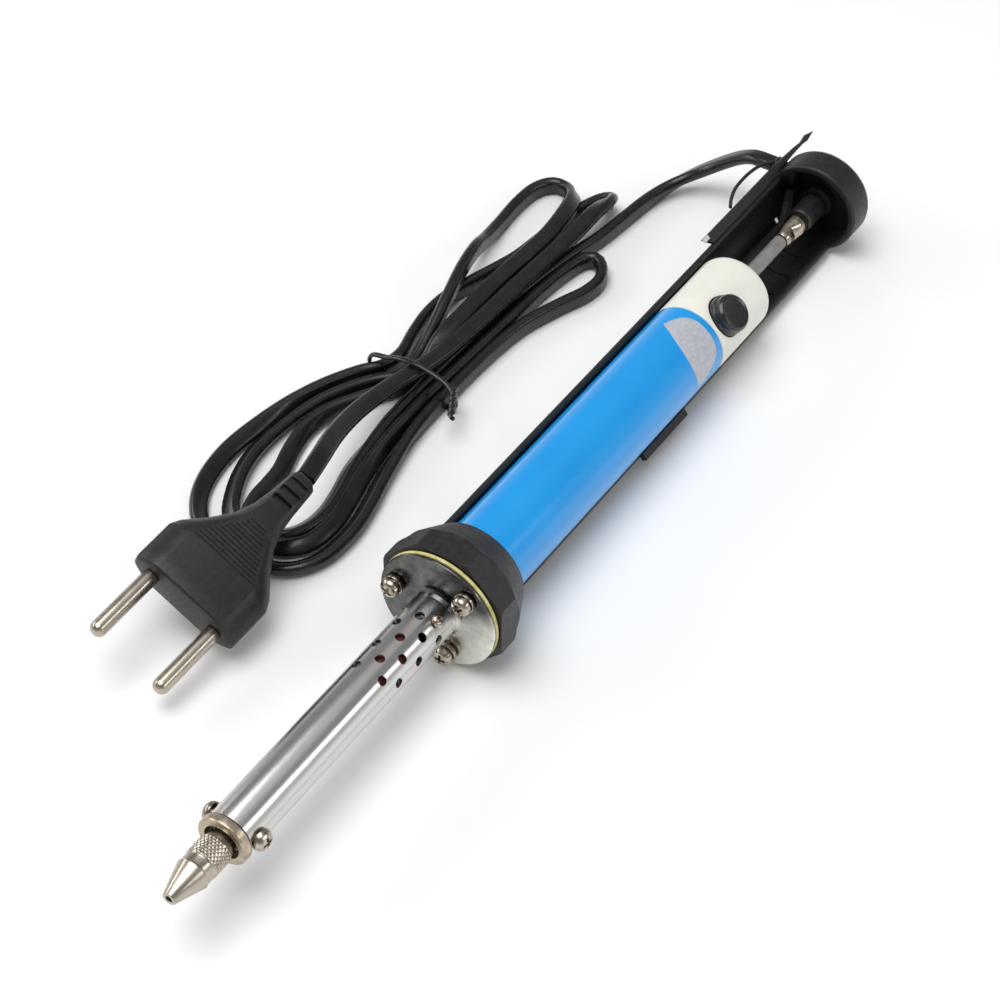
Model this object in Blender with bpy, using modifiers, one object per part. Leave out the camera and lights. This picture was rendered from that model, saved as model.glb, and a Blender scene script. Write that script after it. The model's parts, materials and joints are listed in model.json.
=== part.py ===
"""Mains-heated desoldering pump: a heated suction nozzle on a spring pump, with its cord and plug.

The tool is drawn in its own frame, in millimetres: +X runs along the axis from the nozzle's tip to
the end cap, +Z points out through the release button and +Y is the left rim of the handle.
The parent empty TOOL lays that frame on the table: rolled so that a flat of the nut is down, and
tilted so that the nut and the end cap both touch the table.
"""
import math

import bmesh
import bpy
from mathutils import Matrix, Vector

MM = 0.001

# Driving dimensions in millimetres. Stations are distances from the nozzle's tip.
TIP_RADIUS = 1.6
BORE_RADIUS = 0.8
CONE_END = 7.6
NOZZLE_RADIUS = 3.85
RING_FRONT, RING_REAR, RING_RADIUS = 16.9, 19.2, 6.1
TUBE_FRONT, TUBE_REAR, TUBE_RADIUS, TUBE_WALL = 19.5, 91.4, 5.75, 0.6
SIDE_SCREW_STATION = 22.0
NECK_SCREW_STATION = 87.6
VENT_RADIUS = 1.0
VENT_COLUMNS = 10
VENT_ROWS_EVEN = (67.2, 74.6, 82.0)
VENT_ROWS_ODD = (70.8, 78.2, 85.4)
DISC_FRONT, DISC_REAR, DISC_RADIUS = 93.2, 94.0, 14.9
WASHER_FRONT, WASHER_REAR = 94.3, 95.0
FLANGE_BOLT_CIRCLE = 11.2
NUT_FRONT, NUT_OCTAGON_END, NUT_REAR, NUT_APOTHEM = 95.3, 101.3, 109.3, 15.5
NUT_BORE = 10.2
BARREL_FRONT, BARREL_REAR, BARREL_RADIUS, BARREL_BORE = 104.5, 199.7, 9.9, 8.9
HOUSING_FRONT, HOUSING_REAR, HOUSING_BORE = 200.0, 223.5, 7.6
BUTTON_STATION, BUTTON_RADIUS, BUTTON_TOP = 206.2, 4.95, 12.9
ROD_RADIUS, ROD_REAR = 1.8, 245.3
BOSS_RADIUS, BOSS_REAR = 3.3, 263.6
SHELL_FRONT, SHELL_REAR, SHELL_RADIUS, SHELL_BORE = 109.6, 261.0, 12.0, 10.3
SHELL_RIM_ANGLE = 101.0
CAP_FRONT, CAP_REAR, CAP_RADIUS, CAP_EDGE = 261.3, 270.2, 12.3, 1.5
BLADE_TIP = 280.5
CLEARANCE = 0.3

CORD_RADIUS = 2.0
HANK_BOTTOM, HANK_TOP = 1.3, 8.5
TIE_RADIUS = 0.45
PIN_RADIUS, PIN_LENGTH, PIN_SPACING = 2.0, 19.0, 18.4
PLUG_LENGTH, PLUG_WIDTH, PLUG_THICKNESS, PLUG_TAIL_WIDTH = 42.0, 29.0, 10.5, 7.5

# How the tool lies: the nut's rear bottom edge and the end cap both touch the table.
ROLL = math.radians(45)
TILT = math.atan2(NUT_APOTHEM - CAP_RADIUS, CAP_REAR - CAP_EDGE - NUT_OCTAGON_END)

for old in list(bpy.data.objects):
    bpy.data.objects.remove(old, do_unlink=True)
parts = bpy.data.collections.new("desoldering_pump")
cutters = bpy.data.collections.new("cutters")
for group in (parts, cutters):
    bpy.context.scene.collection.children.link(group)


# ---- frames ---------------------------------------------------------------------------------

def frame(name, matrix):
    """An empty that holds the pieces drawn in one frame."""
    empty = bpy.data.objects.new(name, None)
    parts.objects.link(empty)
    empty.matrix_world = matrix
    return empty


# The origin is midway between the nozzle's tip and the blade's tip, on the table.
HALF_LENGTH = BLADE_TIP / 2 * math.cos(TILT)
AXIS_HEIGHT_AT_TIP = NUT_APOTHEM * math.cos(TILT) + NUT_OCTAGON_END * math.sin(TILT)
LAY = Matrix.Translation(Vector((-HALF_LENGTH, 0, AXIS_HEIGHT_AT_TIP)) * MM) @ Matrix.Rotation(TILT, 4, "Y")
TOOL = frame("tool_axis", LAY @ Matrix.Rotation(ROLL, 4, "X"))

# The plug leans on the cord's loops: its pins point towards the nozzle, its right edge is down.
PLUG_PLACE = Vector((66.5 - HALF_LENGTH, 49.4, 13.0)) * MM
PLUG_BACKWARD = Vector((0.993, -0.057, 0.095)).normalized()
PLUG_LEFT = Vector((0.03, 0.882, 0.47))
PLUG_UP = PLUG_BACKWARD.cross(PLUG_LEFT).normalized()
PLUG_LEFT = PLUG_UP.cross(PLUG_BACKWARD)
PLUG = frame("plug_axis", Matrix.Translation(PLUG_PLACE)
             @ Matrix((PLUG_BACKWARD, PLUG_LEFT, PLUG_UP)).transposed().to_4x4())
TABLE = frame("table", Matrix.Translation(Vector((-HALF_LENGTH, 0, 0)) * MM))

ALONG_X = Matrix.Rotation(math.radians(90), 4, "Y")     # a turned piece's +Z becomes +X


def radial(angle):
    """Turns a piece's +Z to the direction at this angle from the button, clockwise from behind."""
    return Matrix.Rotation(math.radians(angle), 4, "X")


def at(x, y=0.0, z=0.0):
    return Matrix.Translation(Vector((x, y, z)) * MM)


# ---- materials ------------------------------------------------------------------------------

def material(name, colour, roughness, metallic=0.0):
    made = bpy.data.materials.new(name)
    made.use_nodes = True
    shader = made.node_tree.nodes["Principled BSDF"]
    shader.inputs["Base Color"].default_value = (*colour, 1)
    shader.inputs["Roughness"].default_value = roughness
    shader.inputs["Metallic"].default_value = metallic
    made.diffuse_color = (*colour, 1)
    return made


NICKEL = material("nickel", (0.62, 0.57, 0.50), 0.3, 1)
CHROME = material("chrome", (0.78, 0.79, 0.80), 0.15, 1)
STEEL = material("steel", (0.55, 0.55, 0.55), 0.35, 1)
ZINC = material("yellow_zinc", (0.80, 0.74, 0.42), 0.35, 1)
BLACK = material("black_plastic", (0.025, 0.025, 0.027), 0.5)
BLUE = material("blue_plastic", (0.02, 0.30, 0.80), 0.3)
CREAM = material("cream_plastic", (0.86, 0.85, 0.78), 0.4)
GREY = material("grey_plastic", (0.36, 0.35, 0.34), 0.5)
CERAMIC = material("ceramic", (0.80, 0.74, 0.66), 0.8)
RED = material("red_insulation", (0.55, 0.03, 0.04), 0.5)
RUBBER = material("cord_rubber", (0.03, 0.03, 0.03), 0.55)


# ---- makers ---------------------------------------------------------------------------------

def add(name, data, look, parent, place=None):
    piece = bpy.data.objects.new(name, data)
    parts.objects.link(piece)
    if look:
        data.materials.append(look)
    piece.parent = parent
    piece.matrix_local = place if place else Matrix()
    return piece


def smooth(mesh):
    mesh.shade_smooth()
    mesh.set_sharp_from_angle(angle=math.radians(35))


def turned(name, outer, look, inner=(), parent=TOOL, place=ALONG_X, steps=24):
    """A piece turned about +Z: outer and inner list (station, radius) from low to high station.

    An inner profile that doesn't end on the axis is a through bore, and closes on the outer one.
    """
    profile = list(reversed(outer)) + list(inner)
    mesh = bpy.data.meshes.new(name)
    rows = [(radius * MM, 0, station * MM) for station, radius in profile]
    edges = [(i, i + 1) for i in range(len(rows) - 1)]
    if inner and inner[-1][1] > 0:
        edges.append((len(rows) - 1, 0))
    mesh.from_pydata(rows, edges, [])
    piece = add(name, mesh, look, parent, place)
    spin = piece.modifiers.new("turn", "SCREW")
    spin.steps = spin.render_steps = steps
    spin.use_merge_vertices = True
    spin.merge_threshold = 0.00001
    spin.use_smooth_shade = True
    return piece


def outline_mesh(name, outline, low, high):
    """The solid between z = low and z = high over a flat outline of (x, y) points."""
    curve = bpy.data.curves.new(name, "CURVE")
    curve.dimensions = "2D"
    curve.fill_mode = "BOTH"
    curve.extrude = (high - low) / 2 * MM
    spline = curve.splines.new("POLY")
    spline.points.add(len(outline) - 1)
    for point, (x, y) in zip(spline.points, outline):
        point.co = (x * MM, y * MM, 0, 1)
    spline.use_cyclic_u = True
    drawn = bpy.data.objects.new(name, curve)
    cutters.objects.link(drawn)
    bpy.context.view_layer.update()
    mesh = bpy.data.meshes.new_from_object(drawn.evaluated_get(bpy.context.evaluated_depsgraph_get()))
    bpy.data.objects.remove(drawn, do_unlink=True)
    solid = bmesh.new()
    solid.from_mesh(mesh)
    bmesh.ops.remove_doubles(solid, verts=solid.verts, dist=0.000001)
    bmesh.ops.translate(solid, verts=solid.verts, vec=(0, 0, (low + high) / 2 * MM))
    bmesh.ops.recalc_face_normals(solid, faces=solid.faces)
    solid.to_mesh(mesh)
    solid.free()
    return mesh


def flat_piece(name, outline, low, high, look, parent=TOOL, place=None):
    return add(name, outline_mesh(name, outline, low, high), look, parent, place)


def wire(name, points, radius, look, parent=TOOL, resolution=2):
    """A round wire or tube along points in millimetres."""
    curve = bpy.data.curves.new(name, "CURVE")
    curve.dimensions = "3D"
    curve.bevel_depth = radius * MM
    curve.bevel_resolution = resolution
    curve.use_fill_caps = True
    spline = curve.splines.new("POLY")
    spline.points.add(len(points) - 1)
    for point, place in zip(spline.points, points):
        point.co = (*(Vector(place) * MM), 1)
    return add(name, curve, look, parent)


def flowing(route, spacing):
    """Points about `spacing` apart on the smooth curve through the route's own points."""
    route = [Vector(p) for p in route]
    ends = [2 * route[0] - route[1]] + route + [2 * route[-1] - route[-2]]
    points = []
    for before, start, end, after in zip(ends, ends[1:], ends[2:], ends[3:]):
        count = max(1, round((end - start).length / spacing))
        for i in range(count):
            t = i / count
            points.append(0.5 * (2 * start + (end - before) * t
                                 + (2 * before - 5 * start + 4 * end - after) * t * t
                                 + (3 * start - 3 * end + after - before) * t ** 3))
    return points + [route[-1]]


def drill(piece, name, radius, low, high, place, sides=12):
    """Cuts a round hole along the cutter's +Z, between low and high."""
    mesh = bpy.data.meshes.new(name)
    rod = bmesh.new()
    bmesh.ops.create_cone(rod, cap_ends=True, segments=sides, radius1=radius * MM, radius2=radius * MM,
                          depth=(high - low) * MM)
    bmesh.ops.translate(rod, verts=rod.verts, vec=(0, 0, (low + high) / 2 * MM))
    rod.to_mesh(mesh)
    rod.free()
    cut(piece, name, mesh, place)


def cut(piece, name, mesh, place, operation="DIFFERENCE"):
    cutter = bpy.data.objects.new(name, mesh)
    cutters.objects.link(cutter)
    cutter.parent = TOOL
    cutter.matrix_local = place
    cutter.hide_render = True
    cutter.display_type = "WIRE"
    boolean = piece.modifiers.new(name, "BOOLEAN")
    boolean.operation = operation
    boolean.object = cutter


def ring_point(angle, radius):
    """(y, z) at this angle from the button, clockwise seen from the nozzle's side."""
    return -radius * math.sin(math.radians(angle)), radius * math.cos(math.radians(angle))


def coil(radius, low, high, turns, per_turn=12):
    """Points of a helix about +Z."""
    count = turns * per_turn
    return [(radius * math.cos(2 * math.pi * i / per_turn), radius * math.sin(2 * math.pi * i / per_turn),
             low + (high - low) * i / count) for i in range(count + 1)]


def along_axis(points):
    """Turns points drawn about +Z onto the tool's axis."""
    return [(z, y, -x) for x, y, z in points]


# ---- hot end --------------------------------------------------------------------------------

def hot_end():
    stem, stem_end = 2.9, 26.0
    turned("nozzle",
           [(0, TIP_RADIUS), (CONE_END, NOZZLE_RADIUS + 0.1), (CONE_END + 0.3, 3.7), (10, 3.7),
            (10.2, NOZZLE_RADIUS), (15.2, NOZZLE_RADIUS), (15.4, 3.45), (17.2, 3.45), (17.3, stem),
            (stem_end, stem)],
           NICKEL, [(0, BORE_RADIUS), (6, BORE_RADIUS), (9, 1.4), (stem_end, 1.4)])
    turned("barrel_front_ring",
           [(RING_FRONT, RING_RADIUS - 0.3), (RING_FRONT + 0.4, RING_RADIUS), (RING_REAR - 0.3, RING_RADIUS),
            (RING_REAR, RING_RADIUS - 0.3)],
           NICKEL, [(RING_FRONT, 4.3), (RING_REAR, 4.3)])
    holder = turned("nozzle_holder", [(19.8, 4.8), (33, 4.8)], STEEL,
                    [(19.8, 3.2), (26.5, 3.2), (26.6, 1.2), (28.5, 1.2), (28.6, 1.9), (33, 1.9)], steps=24)
    turned("suction_tube", [(29, 1.6), (105.7, 1.6)], STEEL, [(29, 1.0), (105.7, 1.0)], steps=12)
    turned("heating_element", [(35, 4.2), (80, 4.2)], CERAMIC, [(35, 1.95), (80, 1.95)], steps=12)
    tube = turned("heater_barrel", [(TUBE_FRONT, TUBE_RADIUS), (TUBE_REAR, TUBE_RADIUS)], CHROME,
                  [(TUBE_FRONT, TUBE_RADIUS - TUBE_WALL), (TUBE_REAR, TUBE_RADIUS - TUBE_WALL)])
    for column in range(VENT_COLUMNS):
        rows = VENT_ROWS_ODD if column % 2 else VENT_ROWS_EVEN
        for row, station in enumerate(rows):
            drill(tube, f"vent_{column}_{row}", VENT_RADIUS, 4.5, 6.5,
                  at(station) @ radial(column * 360 / VENT_COLUMNS), sides=8)
    for number, angle in enumerate((45, -135), 1):
        place = at(SIDE_SCREW_STATION) @ radial(angle)
        drill(tube, f"side_hole_{number}", 1.3, 4.5, 6.5, place)
        drill(holder, f"holder_hole_{number}", 1.3, 2.5, 5.5, place)
        turned(f"barrel_side_screw_{number}",
               [(3.4, 0), (3.4, 1.0), (6.1, 1.0), (6.1, 2.3), (6.8, 2.2), (7.5, 1.6), (7.9, 0.7), (8.0, 0)],
               NICKEL, place=place, steps=12)
    neck = turned("flange_disc",
                  [(84, 4.85), (TUBE_REAR + 0.3, 4.85), (TUBE_REAR + 0.3, 5.3), (DISC_FRONT, 5.3),
                   (DISC_FRONT, DISC_RADIUS), (DISC_REAR, DISC_RADIUS)],
                  CHROME, [(84, 4.35), (DISC_REAR, 4.35)], steps=32)
    place = at(NECK_SCREW_STATION) @ radial(0)
    for owner, name in ((tube, "neck_hole"), (neck, "neck_thread")):
        drill(owner, name, 1.1, 3.5, 6.8, place)
    turned("neck_screw", [(4.0, 0), (4.0, 0.8), (6.1, 0.8), (6.1, 1.6), (6.7, 1.4), (7.0, 0)], NICKEL,
           place=place, steps=12)
    washer = turned("insulator_washer", [(WASHER_FRONT, DISC_RADIUS), (WASHER_REAR, DISC_RADIUS)], ZINC,
                    [(WASHER_FRONT, 5.0), (WASHER_REAR, 5.0)], steps=32)
    for side, name, look in ((1.5, "heater_lead_live", RED), (-1.5, "heater_lead_neutral", BLACK)):
        route = [(80.6, side, -3.2), (92, side, -3.2), (98.6, side, -3.3), (99.9, side, -4.6),
                 (100.0, side, -7.5), (100.3, side, -10.2), (102, side, -11.3), (106, side, -11.45),
                 (140, side, -11.45), (180, side, -11.45), (222, side, -11.4), (230, side, -10.2),
                 (236, side, -8.9)]
        wire(name, flowing(route, 6.0), 0.5, look, resolution=1)
    return neck, washer


# ---- nut and pump ---------------------------------------------------------------------------

def octagon(apothem, scale=1.0):
    corner = apothem / math.cos(math.radians(22.5)) * scale
    return [(corner * math.cos(math.radians(22.5 + 45 * i)), corner * math.sin(math.radians(22.5 + 45 * i)))
            for i in range(8)]


def nose_nut(neck, washer):
    """An octagonal plastic nut that narrows to a round tail, with the flange screwed to its face."""
    nut = flat_piece("nose_nut", octagon(NUT_APOTHEM), NUT_FRONT, NUT_OCTAGON_END, BLACK, place=ALONG_X)
    tail_start = NUT_OCTAGON_END - 1.0
    dome = [(tail_start, 0), (tail_start, 15.2), (NUT_OCTAGON_END, 15.2), (104.4, 14.5), (107.2, 13.2),
            (NUT_REAR, 12.1), (NUT_REAR, 0)]
    tail = turned("nut_tail", dome, None, steps=32)
    bpy.context.view_layer.update()
    mesh = bpy.data.meshes.new_from_object(tail.evaluated_get(bpy.context.evaluated_depsgraph_get()))
    bpy.data.objects.remove(tail, do_unlink=True)
    cut(nut, "nut_tail", mesh, ALONG_X, operation="UNION")
    drill(nut, "nut_front_hole", 5.2, NUT_FRONT - 1, 100, ALONG_X, sides=24)
    drill(nut, "nut_bore", NUT_BORE, 98.3, 118.3, ALONG_X, sides=32)
    slot = outline_mesh("nut_wire_slot", [(98.4, -2.6), (112, -2.6), (112, 2.6), (98.4, 2.6)], -12.35, -9.0)
    cut(nut, "nut_wire_slot", slot, Matrix())
    for number, angle in enumerate((0, 120, -120), 1):
        y, z = ring_point(angle, FLANGE_BOLT_CIRCLE)
        place = at(0, y, z) @ ALONG_X
        for owner, name in ((neck, "disc_hole"), (washer, "washer_hole"), (nut, "nut_hole")):
            drill(owner, f"{name}_{number}", 1.6, 92, 99.5, place)
        turned(f"flange_screw_{number}",
               [(89.6, 0), (89.7, 1.0), (90.1, 1.9), (90.7, 2.4), (91.3, 2.4), (91.3, 1.3), (99.2, 1.3), (99.2, 0)],
               NICKEL, place=place, steps=12)
        turned(f"lock_washer_{number}", [(91.9, 2.5), (92.7, 2.5)], NICKEL,
               [(91.9, 1.6), (92.7, 1.6)], place=place, steps=12)


def pump():
    turned("barrel_front_plug", [(101.8, 9.6), (104.2, 9.6), (104.3, 8.6), (109, 8.6)], CREAM,
           [(101.8, 1.9), (106.0, 1.9), (106.1, 1.1), (109, 1.1)], steps=24)
    turned("pump_barrel", [(BARREL_FRONT, BARREL_RADIUS), (BARREL_REAR, BARREL_RADIUS)], BLUE,
           [(BARREL_FRONT, BARREL_BORE), (BARREL_REAR, BARREL_BORE)], steps=32)
    housing = turned("latch_housing",
                     [(193, 8.6), (BARREL_REAR, 8.6), (HOUSING_FRONT, BARREL_RADIUS),
                      (HOUSING_REAR - 1.6, BARREL_RADIUS), (HOUSING_REAR - 0.6, BARREL_RADIUS - 0.5),
                      (HOUSING_REAR, BARREL_RADIUS - 1.7)],
                     CREAM, [(193, HOUSING_BORE), (219.5, HOUSING_BORE), (219.6, 2.2), (HOUSING_REAR, 2.2)],
                     steps=32)
    drill(housing, "button_hole", BUTTON_RADIUS + CLEARANCE, 4, 14, at(BUTTON_STATION), sides=24)

    turned("release_button",
           [(5.9, 0), (5.9, BUTTON_RADIUS), (BUTTON_TOP - 0.7, BUTTON_RADIUS),
            (BUTTON_TOP - 0.2, BUTTON_RADIUS - 0.5), (BUTTON_TOP, BUTTON_RADIUS - 1.3), (BUTTON_TOP, 0)],
           BLACK, place=at(BUTTON_STATION), steps=24)
    plate = flat_piece("latch_plate", [(5.6, -4.2), (5.6, 4.2), (-1.0, 4.2), (-4.8, 2.4), (-4.8, -2.4), (-1.0, -4.2)],
                       205.2, 206.8, STEEL, place=ALONG_X @ Matrix.Rotation(math.pi, 4, "Z"))
    slot_radius, slot_travel = 2.2, 2.0
    slot = ([(slot_radius * math.cos(a), slot_radius * math.sin(a))
             for a in (math.radians(90 + 30 * i) for i in range(7))]
            + [(slot_travel + slot_radius * math.cos(a), slot_radius * math.sin(a))
               for a in (math.radians(-90 + 30 * i) for i in range(7))])
    cut(plate, "rod_slot", outline_mesh("rod_slot", slot, 204, 208), ALONG_X @ Matrix.Rotation(math.pi, 4, "Z"))
    wire("button_spring", [(208.5 + x, 3.3 + y, z) for x, y, z in coil(1.0, -5.6, 5.4, 6, 7)], 0.2, STEEL,
         resolution=1)

    turned("plunger_rod", [(192.3, 0), (192.3, ROD_RADIUS), (ROD_REAR, ROD_RADIUS), (ROD_REAR, 0)], GREY, steps=12)
    turned("rod_ferrule",
           [(ROD_REAR + 0.3, 0), (ROD_REAR + 0.3, 1.9), (249.5, 2.7), (253.5, 2.9), (254.6, 2.6), (254.6, 0)],
           NICKEL, steps=12)
    turned("plunger_boss",
           [(254.9, 0), (254.9, 2.9), (255.6, BOSS_RADIUS), (BOSS_REAR - 0.8, BOSS_RADIUS),
            (BOSS_REAR, BOSS_RADIUS - 0.8), (BOSS_REAR, 0)],
           BLACK, steps=12)
    turned("piston",
           [(185.5, 0), (185.5, 8.3), (187.9, 8.5), (188.0, 7.3), (189.6, 7.3), (189.7, 8.5), (192, 8.5), (192, 0)],
           BLACK, steps=24)
    seal_section = [(math.radians(45 * i), 0.5) for i in range(8)]
    rows = [(188.8 - r * math.cos(a), 8.1 + r * math.sin(a)) for a, r in seal_section]
    turned("piston_seal", rows[:5], RUBBER, [rows[7], rows[6], rows[5]], steps=24)
    wire("main_spring", along_axis(coil(6.5, 110.2, 184.4, 8, 8)), 0.55, STEEL, resolution=1)


# ---- handle ---------------------------------------------------------------------------------

def handle():
    """A half-round plastic guard under the pump, closed at the rear by a cup-shaped end cap."""
    duct_half, duct_outer, duct_inner = 13.0, 13.8, 12.5
    rear_angle = 360 - SHELL_RIM_ANGLE

    def angles(start, end, count):
        return [start + (end - start) * i / count for i in range(count + 1)]

    outer = ([ring_point(a, SHELL_RADIUS) for a in angles(SHELL_RIM_ANGLE, 163, 8)]
             + [ring_point(a, duct_outer) for a in angles(180 - duct_half, 180 + duct_half, 3)]
             + [ring_point(a, SHELL_RADIUS) for a in angles(197, rear_angle, 8)])
    inner = ([ring_point(a, SHELL_BORE) for a in angles(rear_angle, 194, 8)]
             + [ring_point(a, duct_inner) for a in angles(191, 169, 3)]
             + [ring_point(a, SHELL_BORE) for a in angles(166, SHELL_RIM_ANGLE, 8)])
    outline = [(-z, y) for y, z in outer + inner]
    shell = flat_piece("handle_shell", outline, SHELL_FRONT, SHELL_REAR, BLACK, place=ALONG_X)
    lug = outline_mesh("rim_lug", [(168, 11.2), (187, 11.2), (187, 13.1), (184, 13.0), (168, 12.0)], -0.6, 0.6)
    cut(shell, "rim_lug", lug, radial(98) @ Matrix.Rotation(math.radians(90), 4, "X"), operation="UNION")

    floor, pad_front = 267.2, 264.2
    cap = turned("end_cap",
                 [(CAP_FRONT, CAP_RADIUS), (CAP_REAR - CAP_EDGE, CAP_RADIUS),
                  (CAP_REAR - 0.45, CAP_RADIUS - 0.45), (CAP_REAR, CAP_RADIUS - CAP_EDGE), (CAP_REAR, 0)],
                 BLACK, [(CAP_FRONT, 10.5), (floor, 10.5), (floor, 4.0), (pad_front, 4.0), (pad_front, 0)],
                 steps=32)
    grommet_place = at(265.8) @ radial(-45) @ Matrix.Rotation(math.radians(-90), 4, "X") @ at(0, -4.5, 0)
    drill(cap, "grommet_hole", 2.8, 6.2, 14, grommet_place)
    turned("cord_grommet", [(6.9, 0), (6.9, 2.5), (12.5, 2.5), (12.5, 3.1), (13.3, 2.9), (13.4, 0)], RUBBER,
           place=grommet_place, steps=12)

    blade_low, blade_high, inner_edge, outer_edge = -2.7, -1.7, 12.35, 14.3
    flat_piece("side_blade",
               [(225.5, outer_edge), (228.0, inner_edge), (260, inner_edge), (262, 12.6), (274.5, 12.75),
                (276.8, 12.5), (BLADE_TIP, 13.2), (277.2, 14.0), (275.0, 13.5), (272.0, 13.8), (263, outer_edge)],
               blade_low, blade_high, BLACK)
    loop = [(240.5, 14.9, -2.6), (243, 16.0, -3.0), (247, 17.0, -3.5), (252, 17.2, -3.8), (257, 16.8, -4.0),
            (261, 15.9, -4.0), (263.5, 15.0, -3.4)]
    wire("wire_loop", flowing(loop, 3.0), 0.5, RUBBER, resolution=1)


# ---- cord, hank, tie and plug ---------------------------------------------------------------

def cord_and_plug():
    inner = [(237, 0, -8.6), (246, 0, -8.6), (256, 0, -8.5), (260.5, 1.2, -8.2), (263.4, 3.6, -7.2),
             (264.8, 6.0, -5.4)]
    wire("inner_cord", flowing(inner, 3.0), 1.3, RUBBER, resolution=1)

    lead = [(266.1, 13.8, 17.2), (266.4, 16.6, 17.2), (266.9, 20.2, 16.6), (267.3, 24.2, 14.4), (267.2, 28.5, 11.2),
            (266.2, 33.0, 7.8), (263.8, 37.2, 5.0), (260.0, 40.3, 3.2), (255.0, 42.3, 2.5), (249.6, 43.2, 2.4)]
    wire("cord_lead", flowing(lead, 4.5), CORD_RADIUS, RUBBER, parent=TABLE)

    near_side = [(248, 48), (246, 46), (228, 41), (219, 35.5), (208, 37), (196, 41), (165, 43), (152, 42),
                 (130, 39), (113, 36), (103, 36)]
    left_end = [(98, 41), (97, 50), (97, 61), (100, 70), (108, 76)]
    far_side = [(122, 78), (137, 76), (152, 69), (162, 66), (176, 66), (192, 68), (215, 71), (232, 72.5)]
    right_end = [(243, 71), (250, 66), (252, 58), (251, 52)]
    flat_piece("cord_hank", near_side + left_end + far_side + right_end, HANK_BOTTOM, HANK_TOP, RUBBER,
               parent=TABLE)

    on_top = HANK_TOP + CLEARANCE + CORD_RADIUS
    tail = [(109.2, 47.0, 17.1), (114, 47.6, 16.9), (121, 49.4, 15.2), (129, 51.2, 12.6), (138, 52.2, on_top + 0.1),
            (150, 54, on_top), (156, 55, on_top)]
    wire("cord_tail", flowing(tail, 4.5), CORD_RADIUS, RUBBER, parent=TABLE)

    low, high = 0.75, on_top + CORD_RADIUS + 0.9
    tie = [(151.5, 36.0, 6.0), (154.0, 39.0, 8.2), (158.0, 40.6, 7.2), (158.5, 40.6, 3.6), (158.6, 40.9, 1.2),
           (158.8, 43.0, low), (158.9, 54, low), (159.0, 66.0, low), (159.2, 68.4, 1.4), (159.4, 68.8, 5.0),
           (159.6, 68.4, 9.0), (159.8, 65.4, 11.0), (160.2, 57, high), (160.6, 50.0, high - 1.6),
           (160.4, 43.5, 10.8), (158.4, 39.4, 10.2), (156.0, 37.2, 9.6), (153.2, 34.6, 7.4)]
    wire("twist_tie", flowing(tie, 3.5), TIE_RADIUS, RUBBER, parent=TABLE, resolution=1)

    half, tail_half = PLUG_WIDTH / 2, PLUG_TAIL_WIDTH / 2
    side = [(0, half - 1.5), (1.2, half), (11.5, half), (14, half - 1.2), (19, half - 5.2), (24, half - 8.4),
            (29, tail_half + 0.7), (34, tail_half), (PLUG_LENGTH, tail_half - 0.6)]
    outline = [(x, -y) for x, y in side] + [(x, y) for x, y in reversed(side)]
    body = flat_piece("plug_body", outline, -PLUG_THICKNESS / 2, PLUG_THICKNESS / 2, BLACK, parent=PLUG)
    rounding = body.modifiers.new("round", "BEVEL")
    rounding.width = 1.6 * MM
    rounding.segments = 2
    rounding.limit_method = "ANGLE"
    rounding.angle_limit = math.radians(60)
    for number, sign in ((1, 1), (2, -1)):
        turned(f"plug_pin_{number}",
               [(-PIN_LENGTH - CLEARANCE, 0), (-PIN_LENGTH - 0.1, 1.2), (-PIN_LENGTH + 1.0, PIN_RADIUS),
                (-CLEARANCE, PIN_RADIUS), (-CLEARANCE, 0)],
               NICKEL, parent=PLUG, place=at(0, sign * PIN_SPACING / 2) @ ALONG_X, steps=12)


flange, insulator = hot_end()
nose_nut(flange, insulator)
pump()
handle()
cord_and_plug()
for piece in parts.objects:
    if piece.type == "MESH":
        smooth(piece.data)
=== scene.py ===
"""Looks of a mains-heated desoldering pump: hot nozzle, spring pump, handle guard, cord and plug.

Stations and radii are in millimetres in the tool's own frame: +X runs from the nozzle's tip to the
end cap, +Z points out through the release button. TOOL lays that frame on the table.
"""
import json
import math

import bmesh
import bpy
from mathutils import Matrix, Vector

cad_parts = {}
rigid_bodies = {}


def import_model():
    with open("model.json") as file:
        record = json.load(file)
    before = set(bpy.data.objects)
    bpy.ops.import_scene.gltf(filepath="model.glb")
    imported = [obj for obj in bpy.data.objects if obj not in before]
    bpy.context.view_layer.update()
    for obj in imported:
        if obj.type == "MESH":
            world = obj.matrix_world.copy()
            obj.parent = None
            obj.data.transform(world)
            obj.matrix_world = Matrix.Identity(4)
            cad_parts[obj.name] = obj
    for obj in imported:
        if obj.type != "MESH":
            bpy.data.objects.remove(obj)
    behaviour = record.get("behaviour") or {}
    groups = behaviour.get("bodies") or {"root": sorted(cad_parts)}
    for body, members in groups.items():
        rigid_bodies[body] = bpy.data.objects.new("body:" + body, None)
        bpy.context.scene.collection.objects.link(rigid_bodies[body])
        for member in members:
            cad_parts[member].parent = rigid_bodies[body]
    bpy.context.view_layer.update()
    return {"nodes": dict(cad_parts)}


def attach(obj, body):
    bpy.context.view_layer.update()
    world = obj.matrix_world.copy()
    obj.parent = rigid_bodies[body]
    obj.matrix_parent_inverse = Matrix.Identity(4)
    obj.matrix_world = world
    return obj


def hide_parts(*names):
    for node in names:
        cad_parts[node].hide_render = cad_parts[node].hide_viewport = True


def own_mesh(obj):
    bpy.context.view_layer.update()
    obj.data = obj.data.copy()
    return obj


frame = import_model()

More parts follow.
